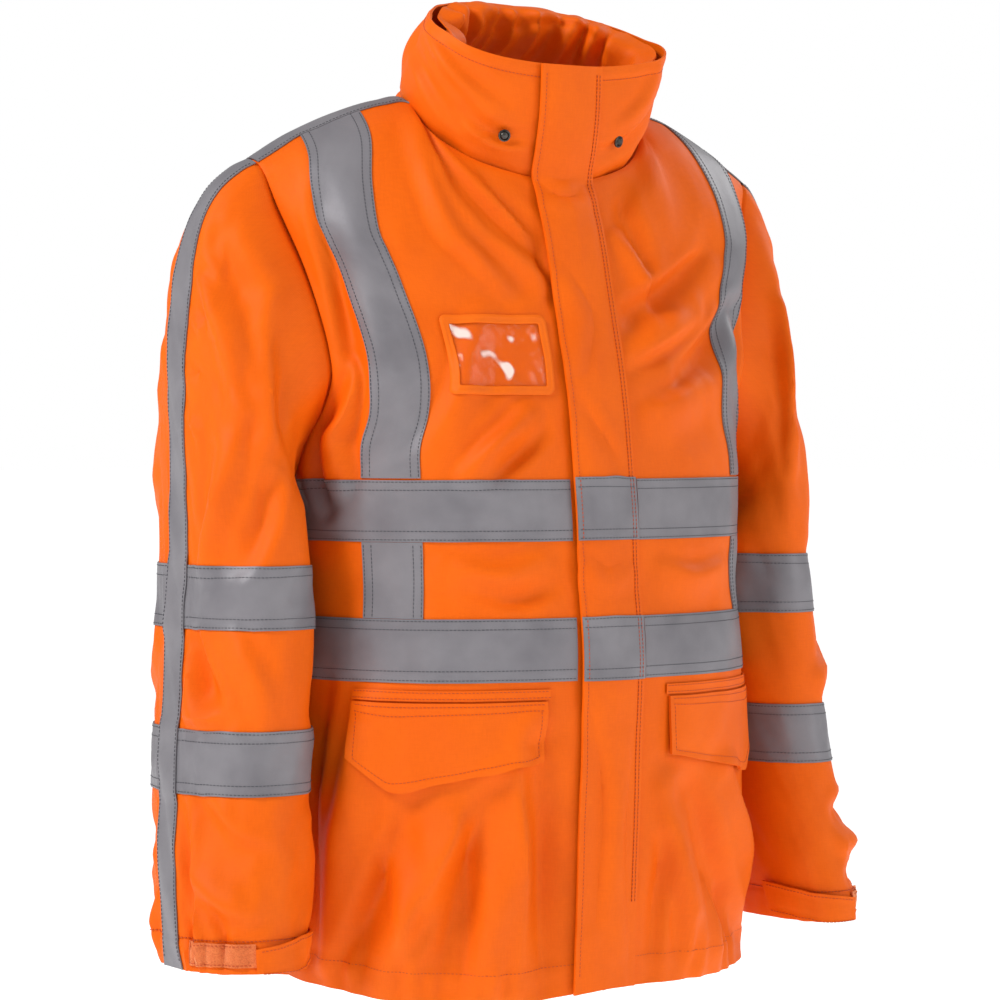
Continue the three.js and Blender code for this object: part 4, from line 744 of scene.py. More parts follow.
FLAP_COLUMNS = [(-30, 3.4), (-15, 5.2), (0, 5.6), (15, 3.8), (29.5, 0.7)]
FLAP_WALL = 2.2
near_centre = [front_line(x) for x in (-7, 7)]
centre_line = (near_centre[0] + near_centre[1]) / 2
flap_grid = np.stack([centre_line if x == 0 else front_line(x) for x, _ in FLAP_COLUMNS], axis=1)
flap_up = np.array([flat_up(level) for level in LEVELS] + [flat_up(TOP_LEVEL) + COLLAR_HEIGHT * h for h in COLLAR_ROWS])
flap_across = np.repeat([[x for x, _ in FLAP_COLUMNS]], len(flap_grid), axis=0).astype(float)
flap = Surface(flap_grid, flap_across, np.repeat(flap_up[:, None], len(FLAP_COLUMNS), axis=1), FLAP_CREASES,
               np.ones(flap_across.shape), 7, rumple=0.35)


def flap_lift(columns):
    return np.interp(columns, range(len(FLAP_COLUMNS)), [lift for _, lift in FLAP_COLUMNS])


def flap_column(x):
    return np.interp(x, [column for column, _ in FLAP_COLUMNS], range(len(FLAP_COLUMNS)))


def to_metres(points):
    points = np.asarray(points, float) / 1000
    points[..., 2] -= HOLD_HEIGHT / 1000
    return points


class Shape:
    """Faces of one mesh, gathered before it is made."""

    def __init__(self):
        self.points, self.faces, self.uvs, self.count = [], [], [], 0

    def add(self, points, faces, uvs):
        points = np.asarray(points, float).reshape(-1, 3)
        self.points.append(points)
        self.faces.append(np.asarray(faces) + self.count)
        self.uvs.append(np.asarray(uvs, float).reshape(-1, 2))
        self.count += len(points)

    def make(self, name, look, sharp=50):
        mesh = bpy.data.meshes.new(name)
        mesh.from_pydata(to_metres(np.concatenate(self.points)).tolist(), [], np.concatenate(self.faces).tolist())
        layer = mesh.uv_layers.new(name="flat")
        layer.data.foreach_set("uv", (np.concatenate(self.uvs) / 1000).ravel())
        mesh.polygons.foreach_set("use_smooth", np.ones(len(mesh.polygons), bool))
        mesh.set_sharp_from_angle(angle=math.radians(sharp))
        mesh.materials.append(look)
        piece = bpy.data.objects.new(name, mesh)
        bpy.context.scene.collection.objects.link(piece)
        return piece


def shell(outer, inner, flat, closed=False):
    """A thin closed wall between two faces of a grid. A closed grid's last column is its first again."""
    rows, columns = outer.shape[:2]
    if closed:
        outer, inner = outer[:, :-1], inner[:, :-1]
    across = np.arange(columns) % (columns - 1) if closed else np.arange(columns)
    ids = np.arange(rows)[:, None] * outer.shape[1] + across[None, :]
    under = ids + outer.shape[0] * outer.shape[1]
    shape = Shape()

    def quads(a, b, c, d, places):
        shape.faces.append(np.stack([x.ravel() for x in (a, b, c, d)], axis=-1))
        shape.uvs.append(np.stack([x.reshape(-1, 2) for x in places], axis=1).reshape(-1, 2))

    low_left, low_right, high_right, high_left = (
        (slice(None, -1), slice(None, -1)), (slice(None, -1), slice(1, None)),
        (slice(1, None), slice(1, None)), (slice(1, None), slice(None, -1)))
    quads(ids[low_left], ids[low_right], ids[high_right], ids[high_left],
          (flat[low_left], flat[low_right], flat[high_right], flat[high_left]))
    quads(under[low_left], under[high_left], under[high_right], under[low_right],
          (flat[low_left], flat[high_left], flat[high_right], flat[low_right]))
    rims = [(ids[0, 1:], ids[0, :-1], under[0, :-1], under[0, 1:], flat[0, 1:], flat[0, :-1]),
            (ids[-1, :-1], ids[-1, 1:], under[-1, 1:], under[-1, :-1], flat[-1, :-1], flat[-1, 1:])]
    if not closed:
        rims += [(ids[:-1, 0], ids[1:, 0], under[1:, 0], under[:-1, 0], flat[:-1, 0], flat[1:, 0]),
                 (ids[1:, -1], ids[:-1, -1], under[:-1, -1], under[1:, -1], flat[1:, -1], flat[:-1, -1])]
    for a, b, c, d, start, end in rims:
        quads(a, b, c, d, (start, end, end, start))
    shape.points = [outer.reshape(-1, 3), inner.reshape(-1, 3)]
    shape.count = outer.size // 3 * 2
    return shape


def inset(points, left=0, right=0, bottom=0, top=0):
    """Pulls the edges of a grid in, in millimetres."""
    points = points.copy()
    for edge, beside, amount in ((np.s_[:, 0], np.s_[:, 1], left), (np.s_[:, -1], np.s_[:, -2], right),
                                 (np.s_[0], np.s_[1], bottom), (np.s_[-1], np.s_[-2], top)):
        if amount:
            points[edge] += unit(points[beside] - points[edge]) * amount
    return points


def layer(surface, rows, columns, lift, wall, edges=None, closed=False):
    """A closed wall on a surface, from a lift above it to its wall more."""
    points, normals, flat = surface.patch(rows, columns)
    points = inset(points, **(edges or {}))
    lift = np.broadcast_to(lift, points.shape[:2])[..., None]
    return shell(points + normals * (lift + wall), points + normals * lift, flat, closed)


class Term:
    """A shader value that Python's operators build on."""

    def __init__(self, look, socket):
        self.look, self.socket = look, socket

    def do(self, operation, *others):
        values = [self] + list(others)
        return self.look.term("ShaderNodeMath", dict(enumerate(values)), operation=operation)

    def __add__(self, other):
        return self.do("ADD", other)

    def __sub__(self, other):
        return self.do("SUBTRACT", other)

    def __mul__(self, other):
        return self.do("MULTIPLY", other)

    def __rsub__(self, other):
        return self.look.term("ShaderNodeMath", {0: other, 1: self}, operation="SUBTRACT")

    __radd__ = __add__
    __rmul__ = __mul__

    def sine(self):
        return self.do("SINE")

    def ramp(self, low, high):
        """0 at low and 1 at high."""
        return self.look.term("ShaderNodeMapRange", {0: self, 1: low, 2: high}, interpolation_type="SMOOTHSTEP")


class Look:
    """A material on one Principled shader, and the helpers that build its nodes."""

    def __init__(self, name, roughness, metallic=0.0, **constants):
        self.material = bpy.data.materials.new(name)
        self.material.use_nodes = True
        self.nodes, self.links = self.material.node_tree.nodes, self.material.node_tree.links
        self.shader = self.nodes["Principled BSDF"]
        self.shader.inputs["Roughness"].default_value = roughness
        self.shader.inputs["Metallic"].default_value = metallic
        for key, value in constants.items():
            self.shader.inputs[key.replace("_", " ")].default_value = value

    def node(self, kind, inputs=None, **settings):
        node = self.nodes.new(kind)
        for key, value in settings.items():
            setattr(node, key, value)
        for key, value in (inputs or {}).items():
            self.feed(node.inputs[key], value)
        return node

    def feed(self, socket, value):
        if isinstance(value, Term):
            self.links.new(value.socket, socket)
        else:
            socket.default_value = value

    def term(self, kind, inputs=None, output=0, **settings):
        return Term(self, self.node(kind, inputs, **settings).outputs[output])

    def flat(self):
        """Across and up of the flat piece, in metres."""
        place = self.term("ShaderNodeTexCoord", output="UV")
        parts = self.node("ShaderNodeSeparateXYZ", {0: place})
        return place, Term(self, parts.outputs[0]), Term(self, parts.outputs[1])

    def place(self):
        return self.term("ShaderNodeTexCoord", output="Object")

    def crossed(self, across, up, repeat):
        """Waves both ways over the flat piece, as of a plain weave."""
        wave = 2 * math.pi / repeat
        return (across * wave).sine() * (up * wave).sine()

    def noise(self, place, scale, detail=2.0, stretch=None):
        if stretch:
            place = self.term("ShaderNodeMapping", {0: place, 3: stretch})
        return self.term("ShaderNodeTexNoise", {"Vector": place, "Scale": scale, "Detail": detail}, output="Fac")

    def mix(self, factor, low, high):
        return self.term("ShaderNodeMix", {0: factor, 6: low, 7: high}, output=2, data_type="RGBA")

    def bump(self, height, distance, strength, under=None):
        inputs = {"Height": height, "Distance": distance, "Strength": strength}
        if under:
            inputs["Normal"] = under
        return self.term("ShaderNodeBump", inputs)

    def set(self, **feeds):
        for key, value in feeds.items():
            self.feed(self.shader.inputs[key.replace("_", " ")], value)
        return self.material


def srgb(red, green, blue):
    def linear(value):
        value /= 255
        return value / 12.92 if value <= 0.04045 else ((value + 0.055) / 1.055) ** 2.4

    return (linear(red), linear(green), linear(blue), 1)


# One repeat of the cloth's weave and of the tape's ribs, in metres.
WEAVE_REPEAT = 0.0009
RIB_REPEAT = 0.0012


def cloth_look(name, light, deep, weave=1.0):
    """Coated plain-weave cloth: fine threads both ways, a soft rumple, and slight unevenness in dye and shine."""
    look = Look(name, 0.55, Sheen_Weight=0.03, Sheen_Roughness=0.4, Specular_IOR_Level=0.16)
    look.shader.inputs["Sheen Tint"].default_value = srgb(255, 170, 110)
    place, across, up = look.flat()
    threads = look.crossed(across, up, WEAVE_REPEAT)
    slubs = (look.noise(place, scale=900, detail=1.0, stretch=(1, 0.12, 1))
             + look.noise(place, scale=900, detail=1.0, stretch=(0.12, 1, 1)))
    dye = look.noise(place, scale=16, detail=4.0)
    soft = look.noise(look.place(), scale=42, detail=3.0)
    rumple = look.bump(soft, distance=0.004, strength=0.16)
    fine = look.bump(threads * 0.5 + slubs * 0.6, distance=0.00022, strength=0.30 * weave, under=rumple)
    grain = (dye * 0.55 + slubs * 0.22).ramp(0.28, 0.72)
    return look.set(Base_Color=look.mix(grain, deep, light), Roughness=dye * 0.16 + slubs * 0.04 + 0.44, Normal=fine)


def tape_look(name):
    """Reflective tape: grey glass-bead film on cloth, with a fine ribbed grain and dull handled patches."""
    look = Look(name, 0.42, 0.1, Specular_IOR_Level=0.35)
    place, across, up = look.flat()
    beads = look.noise(place, scale=2600, detail=1.0)
    wear = look.noise(place, scale=22, detail=4.0)
    ribs = look.crossed(across, up, RIB_REPEAT)
    tone = (wear * 0.7 + beads * 0.45).ramp(0.3, 0.85)
    rumple = look.bump(look.noise(look.place(), scale=48, detail=3.0), distance=0.003, strength=0.14)
    surface = look.bump(ribs * 0.35 + beads * 0.9, distance=0.00016, strength=0.35, under=rumple)
    return look.set(Base_Color=look.mix(tone, srgb(106, 103, 108), srgb(130, 127, 131)),
                    Roughness=wear * 0.2 + 0.34, Normal=surface)


def fuzzy_look(name):
    """The pile of a hook-and-loop strip."""
    look = Look(name, 0.85, Sheen_Weight=0.6, Sheen_Roughness=0.6)
    look.shader.inputs["Sheen Tint"].default_value = srgb(255, 190, 140)
    place, _, _ = look.flat()
    loops = look.noise(place, scale=1100, detail=2.0)
    tufts = look.noise(place, scale=260, detail=3.0)
    tone = (loops * 0.7 + tufts * 0.5).ramp(0.35, 0.8)
    return look.set(Base_Color=look.mix(tone, srgb(196, 84, 26), srgb(222, 112, 52)), Roughness=tufts * 0.1 + 0.8,
                    Normal=look.bump(loops + tufts * 0.8, distance=0.0011, strength=0.8))


def thread_look(name, light, deep):
    look = Look(name, 0.6)
    twist = look.noise(look.place(), scale=1800, detail=2.0)
    return look.set(Base_Color=look.mix(twist.ramp(0.3, 0.7), deep, light),
                    Normal=look.bump(twist, distance=0.0002, strength=0.6))


def metal_look(name, light, deep, roughness):
    look = Look(name, roughness, 1.0)
    place = look.place()
    wear = look.noise(place, scale=420, detail=4.0)
    broad = look.noise(place, scale=90, detail=3.0)
    return look.set(Base_Color=look.mix((wear * 0.6 + broad * 0.6).ramp(0.4, 0.85), deep, light),
                    Roughness=wear * 0.22 + roughness - 0.1,
                    Normal=look.bump(wear, distance=0.00012, strength=0.35))


def clear_look(name):
    """Clear film that buckles, with a faint haze and a few painted pale highlight patches, near-white and more opaque,
    that stand in for where it catches the light.
    """
    look = Look(name, 0.08, Specular_IOR_Level=0.6)
    place, _, _ = look.flat()
    haze = look.noise(place, scale=60, detail=4.0)
    # Painted highlight: noise patches make the film near-white and more opaque, in place of the lamps' reflections.
    painted_glare = look.noise(place, scale=34, detail=1.0).ramp(0.6, 0.68)
    return look.set(Base_Color=look.mix(painted_glare, srgb(232, 110, 30), srgb(255, 246, 238)),
                    Alpha=painted_glare * 0.4 + haze * 0.08 + 0.1, Roughness=haze * 0.1 + 0.02,
                    Normal=look.bump(look.noise(place, scale=30, detail=2.0), distance=0.006, strength=1.0))


ORANGE = srgb(232, 99, 0)
ORANGE_DEEP = srgb(221, 90, 0)
looks = {
    "cloth": cloth_look("orange_coated_cloth", ORANGE, ORANGE_DEEP),
    "welded": cloth_look("orange_welded_film", srgb(234, 106, 14), srgb(224, 98, 8), 0.25),
    "zip_tape": cloth_look("orange_zip_tape", srgb(214, 88, 6), srgb(196, 76, 4), 1.4),
    "tape": tape_look("grey_reflective_tape"),
    "fuzzy": fuzzy_look("orange_fuzzy_strip"),
    "dark_thread": thread_look("dark_grey_thread", srgb(74, 74, 80), srgb(46, 46, 52)),
    "orange_thread": thread_look("orange_thread", srgb(196, 74, 6), srgb(164, 54, 2)),
    "teeth": thread_look("orange_plastic_teeth", srgb(226, 92, 26), srgb(196, 74, 18)),
    "gunmetal": metal_look("gunmetal", srgb(92, 88, 84), srgb(44, 42, 40), 0.36),
    "steel": metal_look("dull_steel", srgb(150, 146, 140), srgb(92, 88, 84), 0.34),
    "window": clear_look("clear_film"),
}


def put(shape, name, look, slot, nodes=(), body="jacket", sharp=50, rests_on=()):
    """Makes a piece in its look, hangs it on its body and hides the CAD parts that it stands for."""
    piece = shape.make(name, looks[look], sharp)
    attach(piece, body)
    if nodes:
        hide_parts(*nodes)
    return piece


# The body panels. Their seam edges roll in a little, and the hem is a doubled band. A cell of their grid is taken
# to be 25 mm wide and, at the top, 15 mm high.
SEAM = 0.3
CELL_WIDE = 25
TOP_CELL_HIGH = 15
SEAM_DIP = 0.7
SEAM_REACH = 2.2
HEM_BAND = 25.5
INNER_WALL = WALL - 0.2


def roll_in(rows, columns, surface):
    """How far the cloth dips beside its side, centre and top seams, in millimetres."""
    distances = (
        columns[None, :] * CELL_WIDE,
        (surface.columns - 1 - columns)[None, :] * CELL_WIDE,
        (surface.rows - 1 - rows)[:, None] * TOP_CELL_HIGH,
    )
    return sum(SEAM_DIP * blob(away / SEAM_REACH) for away in distances)


def panel(surface, name):
    rows, columns = finer(0, surface.rows - 1, ROW_STEPS), finer(0, surface.columns - 1, COLUMN_STEPS)
    points, normals, flat = surface.patch(rows, columns)
    dip = roll_in(rows, columns, surface)
    hem = 0.7 * smoothstep(HEM_BAND - flat[..., 1], 0, 1.5) - 0.5 * blob((flat[..., 1] - HEM_BAND - 0.5) / SEAM_REACH)
    outer = points + normals * (hem - dip)[..., None]
    shape = shell(outer, points - normals * (INNER_WALL + dip)[..., None], flat)
    put(shape, "cloth_" + name, "cloth", "cloth", (name,))


panel(front_right, "front_right")
panel(front_left, "front_left")
panel(back, "back")

# Seams and lines of stitches are gathered here and made at the end, one mesh for each thread.
threads = {"dark_thread": Shape(), "orange_thread": Shape()}
STITCH = dict(pitch=3.2, length=2.3, half=0.34, high=0.42, sunk=0.3, slope=0.28, top_share=0.6)
BOX_CORNERS = ((-1, -1), (1, -1), (1, 1), (-1, 1))
BOX_FACES = np.array([[3, 2, 1, 0], [4, 5, 6, 7], [0, 1, 5, 4], [1, 2, 6, 5], [2, 3, 7, 6], [3, 0, 4, 7]])


def sew(thread, points, normals):
    """A row of stitches along a line, each a small raised bar that narrows to its top."""
    points, normals = np.asarray(points, float), unit(np.asarray(normals, float))
    lengths = np.concatenate([[0], np.cumsum(np.linalg.norm(np.diff(points, axis=0), axis=1))])
    starts = np.arange(STITCH["pitch"] / 2, lengths[-1] - STITCH["length"], STITCH["pitch"])
    if not len(starts):
        return

    def at(values, place):
        return np.stack([np.interp(place, lengths, values[:, k]) for k in range(3)], axis=-1)

    start, end = at(points, starts), at(points, starts + STITCH["length"])
    normal = unit(at(normals, starts + STITCH["length"] / 2))
    along = unit(end - start)
    beside = np.cross(normal, along)
    corners = []
    for high, reach, wide in ((-STITCH["sunk"], 0, 1), (STITCH["high"], STITCH["slope"], STITCH["top_share"])):
        for end_sign, side_sign in BOX_CORNERS:
            middle = (start + end) / 2 + along * (end_sign * (STITCH["length"] / 2 - reach))
            corners.append(middle + beside * (side_sign * STITCH["half"] * wide) + normal * high)
    faces = (BOX_FACES[None] + 8 * np.arange(len(starts))[:, None, None]).reshape(-1, 4)
    threads[thread].add(np.stack(corners, axis=1), faces, np.zeros((len(faces) * 4, 2)))


def sew_places(thread, surface, rows, columns, lift):
    """A row of stitches through places of a surface, raised by a lift."""
    rows, columns = np.broadcast_arrays(np.asarray(rows, float), np.asarray(columns, float))
    points = surface.creased(rows, columns)
    normals = surface.normal(rows, columns, surface.creased)
    sew(thread, points + normals * np.broadcast_to(lift, rows.shape)[..., None], normals)


# Tapes on the body: rows and columns of their panel, how high they lie, and their cut. Each edge has two rows of
# stitches, so many millimetres in from it.
TAPE_LIFT = 0.3
TAPE_WALL = 1
TAPE_TOP = TAPE_LIFT + TAPE_WALL
TAPE_ROWS = (1.5, 8)
TAPE_CELL = 25


def tape_seams(low, high, top=0):
    """Grid places of a tape's rows of stitches. The tape is two cells wide, less what is taken off its top."""
    return [place for row in TAPE_ROWS for place in (low + row / TAPE_CELL, high - (row + top) / TAPE_CELL)]


front_flap = column_index(FRONT_COLUMNS, "flap")
brace_in, brace_out = column_index(FRONT_COLUMNS, "brace_in"), column_index(FRONT_COLUMNS, "brace_out")
back_in, back_out = column_index(BACK_COLUMNS, "brace_in"), column_index(BACK_COLUMNS, "brace_out")
BACK_LAST = back.columns - 1
BRACE = (ARMPIT_ROW, CREST_ROW)
SHORT = (BELLY_ROWS[1], CHEST_ROWS[0])


def body_tape(name, surface, rows, columns, edges):
    shape = layer(surface, finer(*rows, ROW_STEPS), finer(*columns, COLUMN_STEPS), TAPE_LIFT, TAPE_WALL, edges)
    put(shape, "tape_" + name, "tape", "tape", (name,), rests_on=("cloth_" + cloth_under[surface],))


cloth_under = {front_right: "front_right", front_left: "front_left", back: "back"}
under_flap = {"front_right": "right", "front_left": "left"}
for band, rows in (("belly", BELLY_ROWS), ("chest", CHEST_ROWS)):
    top = 1.2 if band == "chest" else 0
    for name, surface, columns, length in (
        ("front_right", front_right, (0, FRONT_LAST - front_flap), 0.26),
        ("front_left", front_left, (front_flap, FRONT_LAST), 0.26),
        ("back", back, (0, BACK_LAST), 0.58),
    ):
        edges = dict(left=SEAM, right=SEAM, top=top)
        if name in under_flap:
            edges[under_flap[name]] = 1
        body_tape(f"{band}_band_{name}", surface, rows, columns, edges)
        for place in tape_seams(*rows, top):
            sew_places("dark_thread", surface, place, finer(*columns, COLUMN_STEPS), TAPE_TOP)

for name, surface, columns in (
    ("right", front_right, (FRONT_LAST - brace_out, FRONT_LAST - brace_in)),
    ("left", front_left, (brace_in, brace_out)),
    ("back_right", back, (BACK_MIDDLE + back_in, BACK_MIDDLE + back_out)),
    ("back_left", back, (BACK_MIDDLE - back_out, BACK_MIDDLE - back_in)),
):
    front = "back" not in name
    long_name = f"brace_front_{name}" if front else f"brace_{name}"
    short_name = f"brace_short_{name}"
    for tape, rows, length in ((long_name, BRACE, 0.28), (short_name, SHORT, 0.061)):
        body_tape(tape, surface, rows, columns, dict(top=SEAM, bottom=SEAM))
        for place in tape_seams(*columns):
            sew_places("dark_thread", surface, finer(*rows, ROW_STEPS), place, TAPE_TOP)

# Shoulder stripes lie over the shoulder seam, from the last row of the front to that of the back.
neck_column = column_index(FRONT_COLUMNS, "neck")
back_neck = column_index(BACK_COLUMNS, "neck")
SHOULDER_LENGTH = 130
SHOULDER_LIFT = 0.25
SHOULDER_SEAMS = (0.13, 1.87)


def shoulder_surface(side):
    if side < 0:
        surface, ends, ends_behind = front_right, (0, FRONT_LAST - neck_column), (BACK_LAST, BACK_MIDDLE + back_neck)
    else:
        surface, ends, ends_behind = front_left, (neck_column, FRONT_LAST), (BACK_MIDDLE - back_neck, 0)
    columns = finer(*ends, COLUMN_STEPS)
    rows = [surface.creased(row, columns) for row in (CREST_ROW, TOP_ROW)]
    behind = back.creased(CREST_ROW, finer(*ends_behind, COLUMN_STEPS))
    share = np.linspace(0, 1, len(columns))
    behind = np.stack([np.interp(share, np.linspace(0, 1, len(behind)), behind[:, k]) for k in range(3)], -1)
    grid = np.array(rows + [behind])
    across = np.repeat([np.linspace(0, SHOULDER_LENGTH, len(columns))], 3, axis=0)
    up = np.repeat([[0], [STRIPE_HALF], [2 * STRIPE_HALF]], len(columns), axis=1)
    return Surface(grid, across, up, [], np.zeros(across.shape), 8, rumple=0)


for name, side in (("right", -1), ("left", 1)):
    stripe = shoulder_surface(side)
    last = stripe.columns - 1
    shape = layer(stripe, finer(0, 2, STRIPE_STEPS), finer(0, last, 1), TAPE_LIFT + SHOULDER_LIFT, TAPE_WALL,
                  dict(left=0.6, right=0.6))
    put(shape, f"tape_shoulder_stripe_{name}", "tape", "tape", (f"shoulder_stripe_{name}",),
        rests_on=(f"cloth_front_{name}",))
    for row in SHOULDER_SEAMS:
        sew_places("dark_thread", stripe, row, finer(0.5, last - 0.5, 1), TAPE_TOP + SHOULDER_LIFT)

# Sleeves, their bands, and the stripe down the outer side over the bands.
TUCK = dict(reach=3.5, under=2.4, beside=0.5)
SLEEVE_HEM_CELL = 20
SLEEVE_TOP_CELL = 18
SLEEVE_DIP_REACH = 3.5
SLEEVE_HEM_BAND = 21
SLEEVE_HEM_ROW = 1.15
STRIPE_SEAMS = (-0.88, 0.88)


def tuck_under(points, normals, edge, beside):
    """Sends a piece's edge row in under the piece that covers it."""
    points[edge] += unit(points[edge] - points[beside]) * TUCK["reach"] - normals[edge] * TUCK["under"]
    points[beside] -= normals[beside] * TUCK["beside"]


def sleeve_hem_rise(rows):
    return 0.6 * smoothstep(SLEEVE_HEM_BAND - rows * SLEEVE_HEM_CELL, 0, 1.5)


for name, sleeve in sleeves.items():
    count = sleeve.columns
    rows, columns = finer(0, SLEEVE_TOP, ROW_STEPS), finer(0, count, ROUND_STEPS)
    points, normals, flat = sleeve.patch(rows, columns)
    tuck_under(points, normals, -1, -2)
    dip = 0.9 * blob((SLEEVE_TOP - rows[:, None]) * SLEEVE_TOP_CELL / SLEEVE_DIP_REACH)
    past_hem = rows[:, None] * SLEEVE_HEM_CELL - SLEEVE_HEM_BAND
    hem = sleeve_hem_rise(rows[:, None]) - 0.5 * blob((past_hem - 1) / SEAM_REACH)
    gathers = 0.9 * smoothstep(2.6 - rows[:, None], 0, 1.2) * np.sin(flat[..., 0] / 5.3 + 2 * np.sin(flat[..., 0] / 31))
    outer = points + normals * (hem - dip + 0.35 * gathers)[..., None]
    shape = shell(outer, points - normals * (INNER_WALL + dip)[..., None], flat, closed=True)
    put(shape, f"cloth_sleeve_{name}", "cloth", "cloth", (f"sleeve_{name}",))
    sew_places("orange_thread", sleeve, SLEEVE_HEM_ROW, columns, 0.5)
    for band, (low, high), round_length in (("upper", SLEEVE_UPPER_ROWS, 0.45), ("lower", SLEEVE_LOWER_ROWS, 0.44)):
        points, normals, flat = sleeve.patch(finer(low, high, ROW_STEPS), columns)
        shape = shell(points + normals * TAPE_TOP, points + normals * TAPE_LIFT, flat, closed=True)
        put(shape, f"tape_sleeve_band_{band}_{name}", "tape", "tape", (f"sleeve_band_{band}_{name}",),
            rests_on=(f"cloth_sleeve_{name}",))
        for row in tape_seams(low, high):
            sew_places("dark_thread", sleeve, row, columns, TAPE_TOP)
    over_band = sum(smoothstep(rows, low - 0.25, low - 0.02) * smoothstep(-rows, -high - 0.25, -high - 0.02)
                    for low, high in (SLEEVE_UPPER_ROWS, SLEEVE_LOWER_ROWS))
    lift = TAPE_LIFT + 0.1 + over_band * TAPE_TOP
    points, normals, flat = sleeve.patch(rows, finer(-1, 1, STRIPE_STEPS))
    points = inset(points, top=3, bottom=0.5)
    lift = (lift + sleeve_hem_rise(rows))[:, None, None]
    shape = shell(points + normals * (lift + TAPE_WALL), points + normals * lift, flat)
    put(shape, f"tape_sleeve_stripe_{name}", "tape", "tape", (f"sleeve_stripe_{name}",),
        rests_on=(f"cloth_sleeve_{name}",))
    for place in STRIPE_SEAMS:
        sew_places("dark_thread", sleeve, rows[2:-3], place, lift[2:-3, 0, 0] + TAPE_WALL)

# The collar, with a rolled top edge and a seam at its foot, pressed in a little round its two snaps.
SNAP_DIMPLE = 1.8
SNAP_REACH = 9
COLLAR_CELL = COLLAR_HEIGHT / len(COLLAR_ROWS)
rows, columns = finer(0, collar.rows - 1, ROW_STEPS), finer(0, collar.columns - 1, ROUND_STEPS)
points, normals, flat = collar.patch(rows, columns)
tuck_under(points, normals, 0, 1)
from_top = (collar.rows - 1 - rows[:, None]) * COLLAR_CELL
for name in ("snap_right", "snap_left"):
    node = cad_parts[name]
    corners = np.array([[*corner, 1] for corner in node.bound_box]) @ np.array(node.matrix_world).T
    snap = corners[:, :3].mean(axis=0) * 1000 + (0, 0, HOLD_HEIGHT)
    points = points - normals * (SNAP_DIMPLE * blob(np.linalg.norm(points - snap, axis=-1) / SNAP_REACH))[..., None]
roll = 0.9 * blob((from_top - 6) / 4) - 0.5 * blob((from_top - 12) / 2) - 0.9 * blob(rows[:, None] * COLLAR_CELL / 3)
shape = shell(points + normals * roll[..., None], points - normals * (INNER_WALL - 0.3 * roll)[..., None], flat)
put(shape, "cloth_collar", "cloth", "cloth", ("collar",))
sew_places("orange_thread", collar, 3.5, finer(1.4, collar.columns - 2.4, ROUND_STEPS), -0.2)

# The hood, rolled up inside the collar. Each row is a share of the collar's height and how far in the roll stands.
HOOD_ROWS = [(0.16, 5.2), (0.38, 17), (0.62, 29), (0.86, 27), (0.97, 8)]
HOOD_ENDS = (0.1, 0.9)
HOOD_LENGTH = 520
HOOD_ROW_HIGH = 22
HOOD_WALL = 1.2
HOOD_LEAST = 4.6
# Broad gathers, as a share of the roll's depth, pleats that are worn down near its inner edge, and one deep fold.
GATHERS = dict(count=11, share=0.24, lift=0.8)
PLEATS = dict(count=12, depth=5.4, fade=(3.1, 3.9))
DEEP_FOLD = dict(depth=4.5, step=2.6, reach=0.28, at=0.42, length=0.16)
hood_share = np.linspace(0, 1, 361)


def hood_row(step):
    """Points and flat places of one row, from the roll's lower edge at step 0 to its inner edge at step 4."""
    height, away = (table_value([(k, row[column]) for k, row in enumerate(HOOD_ROWS)], step, 1) for column in (0, 1))
    curve = collar_curve(height)
    around = lerp(*HOOD_ENDS, hood_share)
    tangent = curve.at(around + 0.01) - curve.at(around - 0.01)
    inward = unit(np.stack([-tangent[:, 1], tangent[:, 0], np.zeros(len(tangent))], axis=-1))
    turn = hood_share * 52
    slant = 0.35 * np.sin(turn * 0.31 + 1) * step
    wave = np.sin(hood_share * GATHERS["count"] * 2 * np.pi + np.sin(turn * 0.37) + slant)
    phase = 2.4 * np.sin(turn * 0.23) + 1.1 * np.sin(step * 1.2)
    pleats = 1 - 2 * np.abs(np.sin(hood_share * PLEATS["count"] * np.pi + phase)) ** 0.8
    swell = math.sin(math.pi * min(step + 0.5, 4.2) / 4.7)
    ends = np.minimum(np.sin(np.pi * hood_share) * 2.2, 1)
    strength = (0.7 + 0.3 * np.sin(turn * 0.19 + 2)) * lerp(0.3, 1, smoothstep(hood_share, 0.25, 0.4))
    edge = HOOD_ROWS[0][1]
    depth = edge + (away - edge) * ends * (1 + GATHERS["share"] * wave)
    depth = depth + PLEATS["depth"] * pleats * ends * swell * strength * (1 - smoothstep(step, *PLEATS["fade"]))
    across_fold = blob((step - DEEP_FOLD["step"] - 0.3 * np.sin(turn * 0.4)) / DEEP_FOLD["reach"])
    depth = depth - DEEP_FOLD["depth"] * across_fold * blob((hood_share - DEEP_FOLD["at"]) / DEEP_FOLD["length"])
    lifted = np.array([0, 0, 1]) * (GATHERS["lift"] * wave * ends * smoothstep(step, 2.0, 3.4))[:, None]
    points = curve.at(around) + inward * np.maximum(depth, HOOD_LEAST)[:, None] + lifted
    return points, np.stack([hood_share * HOOD_LENGTH, np.full(len(hood_share), step * HOOD_ROW_HIGH)], axis=-1)


hood_grid, hood_flat = (np.array(part) for part in zip(*(hood_row(step) for step in np.linspace(0, 4, 33))))
across_step = np.roll(hood_grid, -1, axis=1) - np.roll(hood_grid, 1, axis=1)
across_step[:, 0], across_step[:, -1] = hood_grid[:, 1] - hood_grid[:, 0], hood_grid[:, -1] - hood_grid[:, -2]
hood_normals = unit(np.cross(across_step, np.gradient(hood_grid, axis=0)))
shape = shell(hood_grid, hood_grid - hood_normals * HOOD_WALL, hood_flat)
put(shape, "cloth_hood_roll", "cloth", "cloth", ("hood_roll",),
    rests_on=("cloth_collar",))

